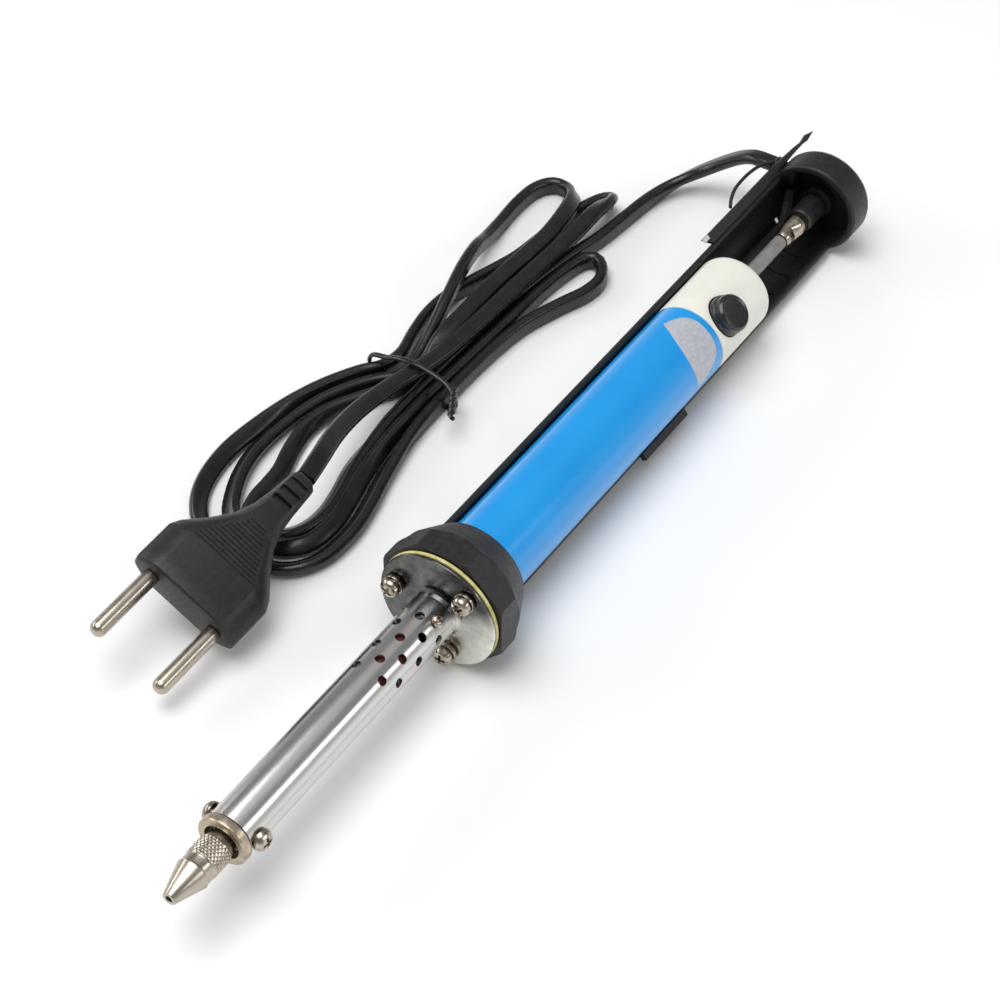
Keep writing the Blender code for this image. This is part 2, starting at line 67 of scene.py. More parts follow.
# ---- Camera ---------------------------------------------------------------------------------
# A long lens looks down along the tool from above its nozzle, over the right of the table.
camera = bpy.data.objects.new("camera", bpy.data.cameras.new("camera"))
bpy.context.scene.collection.objects.link(camera)
camera.data.sensor_width = 36
camera.data.lens = 97.2
camera.data.clip_start = 0.05
camera_right = Vector((0.5519, -0.8338, -0.0105)).normalized()
camera_back = Vector((-0.5814, -0.3937, 0.7121)).normalized()
camera_up = camera_back.cross(camera_right).normalized()
camera_right = camera_up.cross(camera_back)
camera.matrix_world = (Matrix.Translation((-0.3660, -0.2330, 0.4500))
                       @ Matrix((camera_right, camera_up, camera_back)).transposed().to_4x4())
bpy.context.scene.camera = camera

# ---- Table and light ------------------------------------------------------------------------
# A white sweep of card under a wide overhead softbox, with a strip light along each side, and a
# grey room that the polished metal can reflect.
MM = 0.001


class Wire:
    """One output socket of a node. Arithmetic on it adds Math nodes to its graph."""

    def __init__(self, graph, socket):
        self.graph = graph
        self.socket = socket

    def math(self, operation, *values):
        """A Math node of that operation, on these values."""
        return self.graph.add("ShaderNodeMath", {"operation": operation}, *values)

    def __add__(self, other):
        return self.math("ADD", self, other)

    def __sub__(self, other):
        return self.math("SUBTRACT", self, other)

    def __rsub__(self, other):
        return self.math("SUBTRACT", other, self)

    def __mul__(self, other):
        return self.math("MULTIPLY", self, other)

    __radd__ = __add__


class Graph:
    """A node tree that grows by add(): a node's type, its settings, then its sockets' values."""

    def __init__(self, tree):
        self.tree = tree

    def join(self, socket, value):
        """Links a wire to the socket, or sets a plain value on it."""
        if isinstance(value, Wire):
            self.tree.links.new(value.socket, socket)
        else:
            socket.default_value = value

    def add(self, kind, settings=None, *values, out=0, **named):
        """The new node's output. Values go to its sockets in order, and named ones by name."""
        node = self.tree.nodes.new(kind)
        for key, value in (settings or {}).items():
            setattr(node, key, value)
        sockets = [socket for socket in node.inputs if socket.enabled]
        for socket, value in zip(sockets, values):
            self.join(socket, value)
        for key, value in named.items():
            self.join(next(s for s in sockets if s.name == key.replace("_", " ")), value)
        if isinstance(out, str):
            return Wire(self, node.outputs[out])
        return Wire(self, [socket for socket in node.outputs if socket.enabled][out])


class Finish(Graph):
    """A material on one Principled shader. A socket's name is written with _ for a space."""

    def __init__(self, name, **constants):
        self.material = bpy.data.materials.new(name)
        self.material.use_nodes = True
        super().__init__(self.material.node_tree)
        self.shader = self.tree.nodes["Principled BSDF"]
        self.set(**constants)

    def set(self, **inputs):
        """Gives the shader's sockets wires or constant values."""
        for key, value in inputs.items():
            self.join(self.shader.inputs[key.replace("_", " ")], value)

    def grain(self, size, detail=2.0):
        """Noise with features about size millimetres across, on the piece's own coordinates."""
        place = self.add("ShaderNodeTexCoord", out="Object")
        return self.add("ShaderNodeTexNoise", {}, Vector=place, Scale=1000 / size, Detail=detail)

    def reading(self, name):
        """A number stored on the mesh, such as a turned piece's station."""
        return self.add("ShaderNodeAttribute", {"attribute_name": name}, out="Fac")

    def lines(self, name, pitch):
        """Turning marks: noise that changes only along one stored number."""
        return self.add("ShaderNodeTexNoise", {"noise_dimensions": "1D"},
                        W=self.reading(name) * (1 / pitch), Scale=1.0, Detail=3.0)

    def ease(self, value, low, high):
        """0 below low, 1 above high, smooth between."""
        return self.add("ShaderNodeMapRange", {"interpolation_type": "SMOOTHSTEP"}, value, low, high,
                        0.0, 1.0)

    def spread(self, value, low, high):
        """A noise of 0.3 to 0.7 spread out to low to high."""
        return self.add("ShaderNodeMapRange", {}, value, 0.3, 0.7, low, high)

    def uneven(self, low, high, size, detail=2.0):
        """A value that wanders between low and high over size millimetres."""
        return self.spread(self.grain(size, detail), low, high)

    def mix(self, share, first, second):
        """The first colour where share is 0, and the second where it is 1."""
        return self.add("ShaderNodeMix", {"data_type": "RGBA"}, share, A=first, B=second)

    def mottled(self, first, second, size, detail=2.0):
        """Two colours in soft patches about size millimetres across."""
        return self.mix(self.uneven(0, 1, size, detail), first, second)

    def bump(self, height, depth):
        """A bump of depth millimetres."""
        self.set(Normal=self.add("ShaderNodeBump", {}, Height=height, Distance=depth * MM, Strength=1.0))


def plain(name, data, look=None):
    """An object that carries data at the origin."""
    made = bpy.data.objects.new(name, data)
    bpy.context.scene.collection.objects.link(made)
    if look:
        data.materials.append(look)
    return made


card = Finish("white card", Roughness=0.75)
card.set(Base_Color=card.mottled((0.92, 0.92, 0.92, 1), (0.95, 0.95, 0.95, 1), 60))
sweep = bpy.data.meshes.new("table_top")
sweep.from_pydata([(-6, -6, 0), (6, -6, 0), (6, 6, 0), (-6, 6, 0)], [], [(0, 1, 2, 3)])
plain("table_top", sweep, card.material)

for name, place, size, power in (("overhead", (-0.20, 0.15, 1.2), (1.0, 0.8), 10),
                                 ("left_strip", (-0.25, 1.1, 0.60), (1.2, 0.30), 4),
                                 ("right_strip", (0.20, -1.0, 0.55), (1.0, 0.22), 2.5)):
    lamp = bpy.data.lights.new(name, "AREA")
    lamp.shape = "RECTANGLE"
    lamp.size, lamp.size_y = size
    lamp.energy = power
    holder = plain(name, lamp)
    holder.location = place
    holder.rotation_euler = (Vector((0, 0.02, 0)) - Vector(place)).to_track_quat("-Z", "Y").to_euler()

room = bpy.data.worlds.new("grey room")
room.use_nodes = True
sky = Graph(room.node_tree)
height = sky.add("ShaderNodeSeparateXYZ", {}, sky.add("ShaderNodeTexCoord", out="Generated"), out="Z")
dark_wall = sky.add("ShaderNodeMapRange", {"interpolation_type": "SMOOTHSTEP"},
                    height, 0.05, 0.45, 1.0, 0.0)
bright_top = sky.add("ShaderNodeMapRange", {"interpolation_type": "SMOOTHSTEP"},
                     height, 0.72, 0.9, 0.0, 1.0)
sky.join(room.node_tree.nodes["Background"].inputs["Color"],
         sky.add("ShaderNodeMix", {"data_type": "RGBA"}, dark_wall * 0.8 + bright_top * 0.9,
                 A=(0.31, 0.315, 0.32, 1), B=(0.86, 0.86, 0.86, 1)))
room.node_tree.nodes["Background"].inputs["Strength"].default_value = 0.8
bpy.context.scene.world = room
bpy.context.scene.view_settings.view_transform = "Standard"

# ---- How the tool lies ----------------------------------------------------------------------
# The nut rests on the rear edge of one flat and the round end cap on its lowest line, so the
# pump slopes down a little to the rear, with its button turned 45 degrees to the right.
NUT_APOTHEM, NUT_EDGE = 15.5, 101.3
CAP_RADIUS, CAP_REAR, CAP_EDGE = 12.3, 270.2, 1.5
TOOL_LENGTH = 280.5
tilt = math.atan2(NUT_APOTHEM - CAP_RADIUS, CAP_REAR - CAP_EDGE - NUT_EDGE)
half_length = TOOL_LENGTH / 2 * math.cos(tilt)
tip_height = NUT_APOTHEM * math.cos(tilt) + NUT_EDGE * math.sin(tilt)
TOOL = (Matrix.Translation(Vector((-half_length, 0, tip_height)) * MM) @ Matrix.Rotation(tilt, 4, "Y")
        @ Matrix.Rotation(math.radians(45), 4, "X"))
SCALE = Matrix.Scale(MM, 4)


def outward(station, angle):
    """The place on the axis at station whose +X points out, at angle from the button."""
    return (TOOL @ Matrix.Translation((station * MM, 0, 0)) @ Matrix.Rotation(math.radians(angle), 4, "X")
            @ Matrix.Rotation(math.radians(-90), 4, "Y"))


# ---- Nozzle ---------------------------------------------------------------------------------
# A nickel-plated brass nozzle, turned from bar: a cone with a bore, a plain collar, and a
# diamond-knurled grip that is screwed out by hand when it wears.


def eased(profile, cut, closed):
    """The profile with each corner turned into a small round."""
    rounded = []
    for i, corner in enumerate(profile):
        if not closed and i in (0, len(profile) - 1):
            rounded.append(corner)
            continue
        here = Vector(corner)
        before = Vector(profile[i - 1]) - here
        after = Vector(profile[(i + 1) % len(profile)]) - here
        reach = min(cut, before.length * 0.45, after.length * 0.45)
        first = here + before.normalized() * reach
        last = here + after.normalized() * reach
        for t in (0, 0.33, 0.67, 1):
            rounded.append(tuple(first * (1 - t) ** 2 + here * 2 * t * (1 - t) + last * t * t))
    return rounded


def round_axis(x, radius, angle):
    """The point at station x and that radius, at angle from the button."""
    return x, -radius * math.sin(math.radians(angle)), radius * math.cos(math.radians(angle))


def turned(profile, place, sides=96, cut=0.15, through=False, shape=None):
    """A mesh turned about +X from (station, radius) points. shape may change a point's radius.

    It keeps each point's station and its angle from the button as attributes for the finish.
    """
    rows = eased(profile, cut, through)
    solid = bmesh.new()
    station = solid.verts.layers.float.new("station")
    turn = solid.verts.layers.float.new("turn")
    reach = solid.verts.layers.float.new("reach")
    rings = []
    for x, r in rows:
        ring = []
        for k in range(sides):
            angle = 360 * k / sides - 180
            radius = shape(x, r, angle) if shape else r
            vert = solid.verts.new(round_axis(x, radius, angle))
            vert[station] = x
            vert[turn] = angle
            vert[reach] = r
            ring.append(vert)
        rings.append(ring)
    pairs = list(zip(rings, rings[1:])) + ([(rings[-1], rings[0])] if through else [])
    for low, high in pairs:
        for k in range(sides):
            solid.faces.new((low[k - 1], low[k], high[k], high[k - 1]))
    bmesh.ops.remove_doubles(solid, verts=solid.verts, dist=0.0005)
    bmesh.ops.recalc_face_normals(solid, faces=solid.faces)
    mesh = bpy.data.meshes.new("turned")
    solid.to_mesh(mesh)
    solid.free()
    return settled(mesh, place)


def settled(mesh, place, angle=35):
    """The mesh, drawn in millimetres, put in its place and shaded smooth between its edges."""
    mesh.transform(place @ SCALE)
    mesh.shade_smooth()
    mesh.set_sharp_from_angle(angle=math.radians(angle))
    return mesh


def piece(name, mesh, look, body, slot, *stands_for):
    """A finished piece: its material, the body it moves with and its CAD nodes, which it hides; its slot is
    not used.
    """
    mesh.materials.clear()
    made = plain(name, mesh, look.material)
    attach(made, body)
    if stands_for:
        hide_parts(*stands_for)
    return made


def finer(profile, low, high, step):
    """The profile with extra points between two stations, for a patterned band."""
    made = []
    for first, last in zip(profile, profile[1:]):
        made.append(first)
        if first[0] >= low and last[0] <= high and last[0] - first[0] > step:
            count = round((last[0] - first[0]) / step)
            for i in range(1, count):
                made.append(tuple(a + (b - a) * i / count for a, b in zip(first, last)))
    return made + [profile[-1]]


def knurled(x, radius, angle):
    """The grip's radius: two sets of fine grooves that lean opposite ways round it."""
    if not 10.35 < x < 15.05 or radius < 3:
        return radius
    rise = 1.0
    for lean in (1, -1):
        phase = angle / 360 * 24 + lean * x / 1.25
        groove = abs(2 * (phase - math.floor(phase)) - 1)
        rise = min(rise, groove * 2.4)
    return radius - 0.20 * (1 - rise)


nickel = Finish("nickel plate", Metallic=1.0)
nickel.set(Base_Color=nickel.mottled((0.50, 0.45, 0.38, 1), (0.42, 0.375, 0.31, 1), 3.0),
           Roughness=nickel.uneven(0.24, 0.30, 2.0))
nickel.bump(nickel.lines("station", 0.25), 0.002)
nozzle_profile = [(0, 0.8), (0, 1.55), (7.6, 3.95), (7.95, 3.7), (10.0, 3.7), (10.25, 3.9), (15.15, 3.9),
                  (15.4, 3.45), (17.2, 3.45), (17.3, 2.9), (26, 2.9), (26, 1.4), (9, 1.4), (6, 0.8)]
piece("nozzle_plated", turned(finer(nozzle_profile, 10.2, 15.2, 0.14), TOOL, sides=192, cut=0.12,
                              through=True, shape=knurled), nickel, "tool", "nozzle_metal", "nozzle")

# ---- Front ring -----------------------------------------------------------------------------
# A separate nickel ring closes the front of the heater's tube, round the nozzle's shank. The
# heat has browned it.
browned = Finish("browned nickel", Metallic=1.0)
browned.set(Base_Color=browned.mottled((0.56, 0.48, 0.37, 1), (0.34, 0.27, 0.20, 1), 2.2),
            Roughness=browned.uneven(0.25, 0.42, 0.7))
browned.bump(browned.lines("station", 0.1), 0.008)
piece("front_ring_plated", turned([(16.9, 4.3), (16.9, 5.9), (17.3, 6.15), (19.0, 6.15), (19.2, 5.9),
                                   (19.2, 4.3)], TOOL, through=True), browned, "tool", "nozzle_metal",
      "barrel_front_ring")

# ---- Heater tube ----------------------------------------------------------------------------
# A thin chromed steel tube, rolled from sheet with one seam, round the heating element. Ten
# columns of punched vents near the flange keep the handle cool.


class Pattern(Graph):
    """A Geometry Nodes tree with named inputs, for what repeats by a rule."""

    def __init__(self, name, inputs):
        tree = bpy.data.node_groups.new(name, "GeometryNodeTree")
        super().__init__(tree)
        tree.interface.new_socket("Geometry", in_out="INPUT", socket_type="NodeSocketGeometry")
        for label, kind in inputs.items():
            tree.interface.new_socket(label, in_out="INPUT", socket_type="NodeSocket" + kind)
        tree.interface.new_socket("Geometry", in_out="OUTPUT", socket_type="NodeSocketGeometry")
        self.entry = tree.nodes.new("NodeGroupInput")

    def given(self, label):
        """The input of that name."""
        return Wire(self, self.entry.outputs[label])

    def end(self, geometry, look):
        """The tree's result, made real and given its material."""
        real = self.add("GeometryNodeRealizeInstances", {}, geometry)
        painted = self.add("GeometryNodeSetMaterial", {}, real, Material=look.material)
        self.join(self.tree.nodes.new("NodeGroupOutput").inputs[0], painted)

    def grow(self, mesh, sizes):
        """The plain mesh this tree makes from mesh, with its inputs set by name."""
        base = plain(self.tree.name, mesh)
        modifier = base.modifiers.new(self.tree.name, "NODES")
        modifier.node_group = self.tree
        for item in self.tree.interface.items_tree:
            if item.in_out == "INPUT" and item.name in sizes:
                modifier[item.identifier] = sizes[item.name]
        bpy.context.view_layer.update()
        grown = bpy.data.meshes.new_from_object(base.evaluated_get(bpy.context.evaluated_depsgraph_get()))
        bpy.data.objects.remove(base, do_unlink=True)
        return grown


chrome = Finish("chromed tube", Metallic=1.0)
heat = 1 - chrome.ease(chrome.reading("station"), 20.0, 46.0)
chrome.set(Base_Color=chrome.mix(heat * 0.35, (0.66, 0.66, 0.67, 1), (0.56, 0.51, 0.43, 1)),
           Roughness=chrome.uneven(0.205, 0.23, 1.6, 4.0))
chrome.bump(chrome.lines("turn", 1.1) + chrome.grain(5.0) * 1.5, 0.010)


def seamed(x, radius, angle):
    """The tube's outside sinks a little along its seam."""
    if radius < 5.6:
        return radius
    return radius - 0.10 * max(0.0, 1 - abs(angle - 31) / 2.6)


vents = Pattern("vent_holes", {"Vent radius": "Float", "Columns": "Int", "Rows": "Int",
                               "First row": "Float", "Row pitch": "Float", "Tube radius": "Float"})
number = vents.add("GeometryNodeInputIndex")
column = vents.add("ShaderNodeMath", {"operation": "FLOORED_MODULO"}, number, vents.given("Columns"))
row = vents.add("ShaderNodeMath", {"operation": "FLOOR"},
                vents.add("ShaderNodeMath", {"operation": "DIVIDE"}, number, vents.given("Columns")))
odd = vents.add("ShaderNodeMath", {"operation": "FLOORED_MODULO"}, column, 2.0)
round_angle = column * vents.add("ShaderNodeMath", {"operation": "DIVIDE"}, math.tau,
                                 vents.given("Columns"))
middle = vents.given("First row") + (row + odd * 0.5) * vents.given("Row pitch")
across = vents.add("ShaderNodeMath", {"operation": "SINE"}, round_angle) * -1.0
rise = vents.add("ShaderNodeMath", {"operation": "COSINE"}, round_angle)
way = vents.add("ShaderNodeCombineXYZ", {}, 0.0, across, rise)
spot = vents.add("ShaderNodeCombineXYZ", {}, middle, across * vents.given("Tube radius"),
                 rise * vents.given("Tube radius"))
spots = vents.add("GeometryNodePoints", {}, vents.given("Columns") * vents.given("Rows"), spot)
punch = vents.add("GeometryNodeMeshCylinder", {}, Vertices=28, Radius=vents.given("Vent radius"), Depth=3.0)
aimed = vents.add("FunctionNodeAlignRotationToVector", {"axis": "Z"}, Vector=way)
punches = vents.add("GeometryNodeInstanceOnPoints", {}, spots, Instance=punch, Rotation=aimed)
punches = vents.add("GeometryNodeRealizeInstances", {}, punches)
vents.end(vents.add("GeometryNodeMeshBoolean", {"operation": "DIFFERENCE"}, Mesh_1=vents.given("Geometry"),
                    Mesh_2=punches, out="Mesh"), chrome)

# A shape with this place stays in millimetres, to be cut before it is settled.
UNPLACED = Matrix.Scale(1 / MM, 4)
tube = turned([(19.5, 5.15), (19.5, 5.75), (91.4, 5.75), (91.4, 5.15)], UNPLACED, sides=140, cut=0.08,
              through=True, shape=seamed)
tube = vents.grow(tube, {"Vent radius": 1.12, "Columns": 10, "Rows": 3, "First row": 67.2, "Row pitch": 7.4,
                         "Tube radius": 5.45})
piece("heater_tube_chromed", settled(tube, TOOL), chrome, "tool", "tube_chrome", "heater_barrel")

# ---- Screws ---------------------------------------------------------------------------------
# Nickel-plated cross-head screws: two hold the nozzle's holder in the tube, a small one holds
# the tube on the flange's neck, and three with spring washers hold the flange on the nut.
bright = Finish("bright nickel", Metallic=1.0)
bright.set(Base_Color=bright.mottled((0.56, 0.50, 0.42, 1), (0.34, 0.29, 0.23, 1), 0.9),
           Roughness=bright.uneven(0.12, 0.28, 0.5))
bright.bump(bright.grain(0.4), 0.005)


def cross_head(radius, height, shank, length, slot):
    """A domed screw along +X, its head from 0 to height and its shank behind.

    The cross in its head is two grooves, each wider and longer at the dome's top than at its floor.
    """
    dome = [(height * math.sin(math.radians(a)) if a else 0.0, radius * math.cos(math.radians(a)) ** 0.55)
            for a in (0, 20, 40, 58, 72, 82)]
    profile = [(-length, 0), (-length, shank), (0, shank)] + dome + [(height, 0)]
    head = turned(profile, UNPLACED, sides=48, cut=0.08)
    cross = bmesh.new()
    for lean in (0, 90):
        groove = bmesh.ops.create_cube(cross, size=1.0)["verts"]
        for vert in groove:
            if vert.co.x < 0:
                vert.co = Vector((0.38 * height, vert.co.y * slot, vert.co.z * radius * 0.5))
            else:
                vert.co = Vector((1.05 * height, vert.co.y * slot * 1.5, vert.co.z * radius * 1.3))
        bmesh.ops.rotate(cross, verts=groove, cent=(0, 0, 0),
                         matrix=Matrix.Rotation(math.radians(lean), 3, "X"))
    cutter_mesh = bpy.data.meshes.new("cross")
    cross.to_mesh(cutter_mesh)
    cross.free()
    return carved(head, cutter_mesh)


def carved(mesh, *cutters, operation="DIFFERENCE"):
    """The mesh with the cutters' shapes taken out of it or joined to it."""
    base = plain("carved", mesh)
    for number, cutter_mesh in enumerate(cutters):
        cutter = plain(f"cutter_{number}", cutter_mesh)
        boolean = base.modifiers.new("cut", "BOOLEAN")
        boolean.operation = operation
        boolean.object = cutter
        boolean.use_self = True
    bpy.context.view_layer.update()
    made = bpy.data.meshes.new_from_object(base.evaluated_get(bpy.context.evaluated_depsgraph_get()))
    for old in [o for o in bpy.context.scene.objects if o.name.startswith(("carved", "cutter_"))]:
        bpy.data.objects.remove(old, do_unlink=True)
    return made


for number, angle in enumerate((45, -135), 1):
    place = outward(22.0, angle) @ Matrix.Translation((6.05 * MM, 0, 0))
    piece(f"side_screw_{number}", settled(cross_head(2.5, 1.95, 1.05, 2.6, 0.5), place), bright, "tool",
          "screw_nickel", f"barrel_side_screw_{number}")
place = outward(87.6, 0) @ Matrix.Translation((6.0 * MM, 0, 0))
piece("neck_screw_head", settled(cross_head(1.6, 1.0, 0.75, 2.0, 0.3), place), bright, "tool",
      "screw_nickel", "neck_screw")

circle = Pattern("bolt_circle", {"Part": "Object", "Count": "Int", "Circle radius": "Float"})
number = circle.add("GeometryNodeInputIndex")
turn = number * circle.add("ShaderNodeMath", {"operation": "DIVIDE"}, math.tau, circle.given("Count"))
spot = circle.add("ShaderNodeCombineXYZ", {}, 0.0,
                  circle.add("ShaderNodeMath", {"operation": "SINE"}, turn) * -1.0
                  * circle.given("Circle radius"),
                  circle.add("ShaderNodeMath", {"operation": "COSINE"}, turn)
                  * circle.given("Circle radius"))
spots = circle.add("GeometryNodePoints", {}, circle.given("Count"), spot)
part = circle.add("GeometryNodeObjectInfo", {}, circle.given("Part"), out="Geometry")
askew = circle.add("ShaderNodeCombineXYZ", {}, number * 0.5 + 0.3, 0.0, 0.0)
circle.end(circle.add("GeometryNodeInstanceOnPoints", {}, spots, Instance=part, Rotation=askew), bright)


def ringed(name, mesh, stands_for):
    """A piece that repeats the mesh three times round the flange's bolt circle."""
    sample = plain("sample", mesh)
    grown = circle.grow(bpy.data.meshes.new("seed"), {"Part": sample, "Count": 3, "Circle radius": 11.2})
    bpy.data.objects.remove(sample, do_unlink=True)
    piece(name, settled(grown, TOOL), bright, "tool", "screw_nickel", *stands_for)


facing_nozzle = Matrix.Rotation(math.pi, 4, "Y")
head = cross_head(2.4, 1.7, 1.3, 7.9, 0.42)
head.transform(Matrix.Translation((91.3, 0, 0)) @ facing_nozzle)
ringed("flange_screws", head, [f"flange_screw_{i}" for i in (1, 2, 3)])
washer = turned([(91.9, 1.6), (91.9, 2.5), (92.7, 2.5), (92.7, 1.6)], UNPLACED, sides=40, cut=0.12,
                through=True)
ringed("spring_washers", washer, [f"lock_washer_{i}" for i in (1, 2, 3)])

# ---- Flange and insulating washer -----------------------------------------------------------
# A bright pressed-steel disc, turned in one with its neck, and a yellow insulating sheet behind
# it. Both are clamped to the nut's face.
flange = Finish("bright steel disc", Metallic=1.0)
# Painted reflection: most of the disc is painted dark grey, standing in for the dark room mirrored in it.
# Only the side about 85 degrees round from the button keeps the bright steel colour, standing in for the
# light it reflects there.
BRIGHT_SIDE_MIDDLE = 85
bright_side = flange.add("ShaderNodeMath", {"operation": "COSINE"},
                        (flange.reading("turn") - BRIGHT_SIDE_MIDDLE) * math.radians(1))
painted_dark_reflection = flange.mottled((0.17, 0.17, 0.17, 1), (0.075, 0.075, 0.075, 1), 2.5, 4.0)
bright_steel = flange.mottled((0.84, 0.84, 0.77, 1), (0.66, 0.66, 0.60, 1), 2.0, 4.0)
bright_share = flange.ease(bright_side + flange.grain(7.0) * 0.5, 0.55, 1.0)
flange.set(Base_Color=flange.mix(bright_share, painted_dark_reflection, bright_steel), Roughness=flange.uneven(0.16, 0.30, 1.2, 4.0))
flange.bump(flange.grain(0.35, 3.0) + flange.grain(6.0), 0.010)
piece("flange_pressed", turned([(84, 4.35), (84, 4.85), (91.7, 4.85), (91.9, 5.3), (92.9, 5.5),
                                (93.2, 6.4), (93.2, 14.9), (94.0, 14.9), (94.0, 4.35)], TOOL, sides=128,
                               cut=0.2, through=True), flange, "tool", "flange_metal", "flange_disc")
yellow = Finish("yellow insulating sheet")
yellow.set(Base_Color=yellow.mottled((0.74, 0.69, 0.34, 1), (0.50, 0.44, 0.13, 1), 1.4, 4.0),
           Roughness=yellow.uneven(0.32, 0.55, 0.6))
yellow.bump(yellow.grain(0.3), 0.02)
piece("insulating_sheet", turned([(94.25, 5.0), (94.25, 14.95), (95.05, 14.95), (95.05, 5.0)], TOOL,
                                 sides=128, cut=0.1, through=True), yellow, "tool", "washer_yellow",
      "insulator_washer")

# ---- Nose nut -------------------------------------------------------------------------------
# An eight-sided nut of heat-proof black plastic, moulded with a fine matt grain. It screws over
# the front of the handle and narrows to a round tail.
moulded = Finish("grained black plastic")
moulded.set(Base_Color=moulded.mottled((0.018, 0.018, 0.018, 1), (0.009, 0.009, 0.010, 1), 1.2, 5.0),
            Roughness=moulded.uneven(0.34, 0.50, 0.7), Specular_IOR_Level=0.4)
moulded.bump(moulded.grain(0.28, 3.0), 0.025)


def eight_sided(x, radius, angle):
    """Eight flats cut the nut's round rim, and run out on the cone behind it."""
    if radius < 12.0:
        return radius
    off_flat = (angle + 22.5) % 45 - 22.5
    flat = NUT_APOTHEM / math.cos(math.radians(off_flat))
    if x > NUT_EDGE:
        flat += (x - NUT_EDGE) * 0.9
    return min(radius, flat)


piece("nose_nut_moulded", turned([(98.3, 5.2), (95.3, 5.2), (95.3, 16.55), (95.7, 16.76), (100.6, 16.76),
                                  (101.0, 16.5), (102.4, 15.5), (104.4, 14.6), (107.2, 13.2), (109.3, 12.1),
                                  (109.3, 10.2), (98.3, 10.2)], TOOL, sides=192, cut=0.25, through=True,
                                 shape=eight_sided), moulded, "tool", "nut_black", "nose_nut")

# ---- Pump barrel ----------------------------------------------------------------------------
# A glossy blue plastic tube, the cylinder of the pump. A plain grey label is stuck round its
# button side, square towards the nozzle and rounded towards the button.
LABEL_MIDDLE, LABEL_HALF_ANGLE, LABEL_FRONT, LABEL_REAR, LABEL_BOW = 6, 63, 187.2, 198.0, 7.0
BOW_MIDDLE, LABEL_SLANT, LABEL_TAPER = 16, -0.055, 9.0
blue = Finish("glossy blue plastic", Coat_Weight=0.3, Coat_Roughness=0.08)
along = blue.reading("station")
swing = blue.reading("turn") + LABEL_MIDDLE
away = blue.add("ShaderNodeMath", {"operation": "ABSOLUTE"}, swing)
lean = blue.add("ShaderNodeMath", {"operation": "COSINE"},
                (blue.reading("turn") + BOW_MIDDLE) * math.radians(1))
taper = blue.add("ShaderNodeMath", {"operation": "POWER"}, away * (1 / LABEL_HALF_ANGLE), 3.8)
front_edge = blue.ease(along - (LABEL_FRONT + (1 - lean) * LABEL_BOW + swing * LABEL_SLANT), 0.0, 0.25)
rear_edge = blue.ease(LABEL_REAR - taper * LABEL_TAPER - along, 0.0, 0.25)
label = front_edge * rear_edge * blue.ease(LABEL_HALF_ANGLE + 2 - away, 0.0, 2.0)
paper = blue.mottled((0.40, 0.42, 0.46, 1), (0.50, 0.52, 0.56, 1), 1.0, 4.0)
tint = blue.mottled((0.008, 0.295, 0.74, 1), (0.010, 0.325, 0.79, 1), 18.0)
blue.set(Base_Color=blue.mix(label, tint, paper),
         Roughness=blue.uneven(0.16, 0.26, 2.5, 4.0) + label * 0.25)
blue.bump(label * 3.0 + blue.grain(4.0) * 0.6 + blue.grain(0.5) * 0.1, 0.03)
barrel = turned(finer([(104.5, 8.9), (104.5, 9.9), (199.7, 9.9)], 104, 200, 1.5) + [(199.7, 8.9)], TOOL,
                sides=144, cut=0.2, through=True)
piece("pump_barrel_blue", barrel, blue, "tool", "pump_blue", "pump_barrel")

# ---- Latch housing --------------------------------------------------------------------------
# A cream plastic bush that closes the rear of the pump, guides the rod and holds the button.
# A round hole is cut in it for the button.
cream = Finish("cream plastic", Subsurface_Weight=0.05)
cream.set(Base_Color=cream.mottled((0.84, 0.82, 0.75, 1), (0.78, 0.76, 0.67, 1), 6.0, 3.0),
          Roughness=cream.uneven(0.28, 0.42, 1.5))
cream.bump(cream.grain(0.5, 3.0), 0.012)
housing = turned([(193, 7.6), (193, 8.6), (199.75, 8.6), (200.0, 9.9), (221.6, 9.9), (222.9, 9.4),
                  (223.5, 8.2), (223.5, 2.2), (220.5, 2.2), (220.5, 7.6)], UNPLACED, sides=144, cut=0.5,
                 through=True)
button_hole = turned([(4, 0), (4, 5.25), (14, 5.25), (14, 0)], UNPLACED, sides=72, cut=0.05)
button_hole.transform(Matrix.Translation((206.2, 0, 0)) @ Matrix.Rotation(math.radians(-90), 4, "Y"))
piece("latch_housing_cream", settled(carved(housing, button_hole), TOOL), cream, "tool", "housing_cream",
      "latch_housing")

# ---- Release button -------------------------------------------------------------------------
# A glossy black round button with a dished top and a flange at its foot. Pressed, it pushes a
# steel plate off the rod's notch, and a small coil spring lifts it again.
glossy = Finish("glossy black plastic", Coat_Weight=0.2)
glossy.set(Roughness=glossy.uneven(0.12, 0.26, 1.2, 4.0),
           Base_Color=glossy.mix(glossy.grain(2.0), (0.010, 0.010, 0.010, 1), (0.018, 0.018, 0.018, 1)))
glossy.bump(glossy.grain(0.8), 0.01)
piece("button_cap", turned([(5.9, 0), (5.9, 4.95), (10.4, 4.95), (10.5, 4.7), (12.1, 4.7), (12.9, 4.0),
                            (12.75, 3.4), (12.6, 0)], outward(206.2, 0), sides=72, cut=0.25), glossy,
      "button", "button_black", "release_button")

# ---- Plunger --------------------------------------------------------------------------------
# A dull grey rod comes out of the housing. A nickel sleeve is crimped on its end and carries a
# black plastic boss, which the thumb pushes forwards along the open handle to cock the pump.
grey = Finish("dull grey plastic")
grey.set(Base_Color=grey.mottled((0.27, 0.265, 0.255, 1), (0.19, 0.185, 0.178, 1), 2.0, 4.0),
         Roughness=grey.uneven(0.4, 0.6, 0.6))
grey.bump(grey.lines("station", 0.3), 0.02)
piece("rod_drawn", turned([(192.3, 0), (192.3, 1.8), (245.3, 1.8), (245.3, 0)], TOOL, sides=40), grey,
      "plunger", "rod_grey", "plunger_rod")


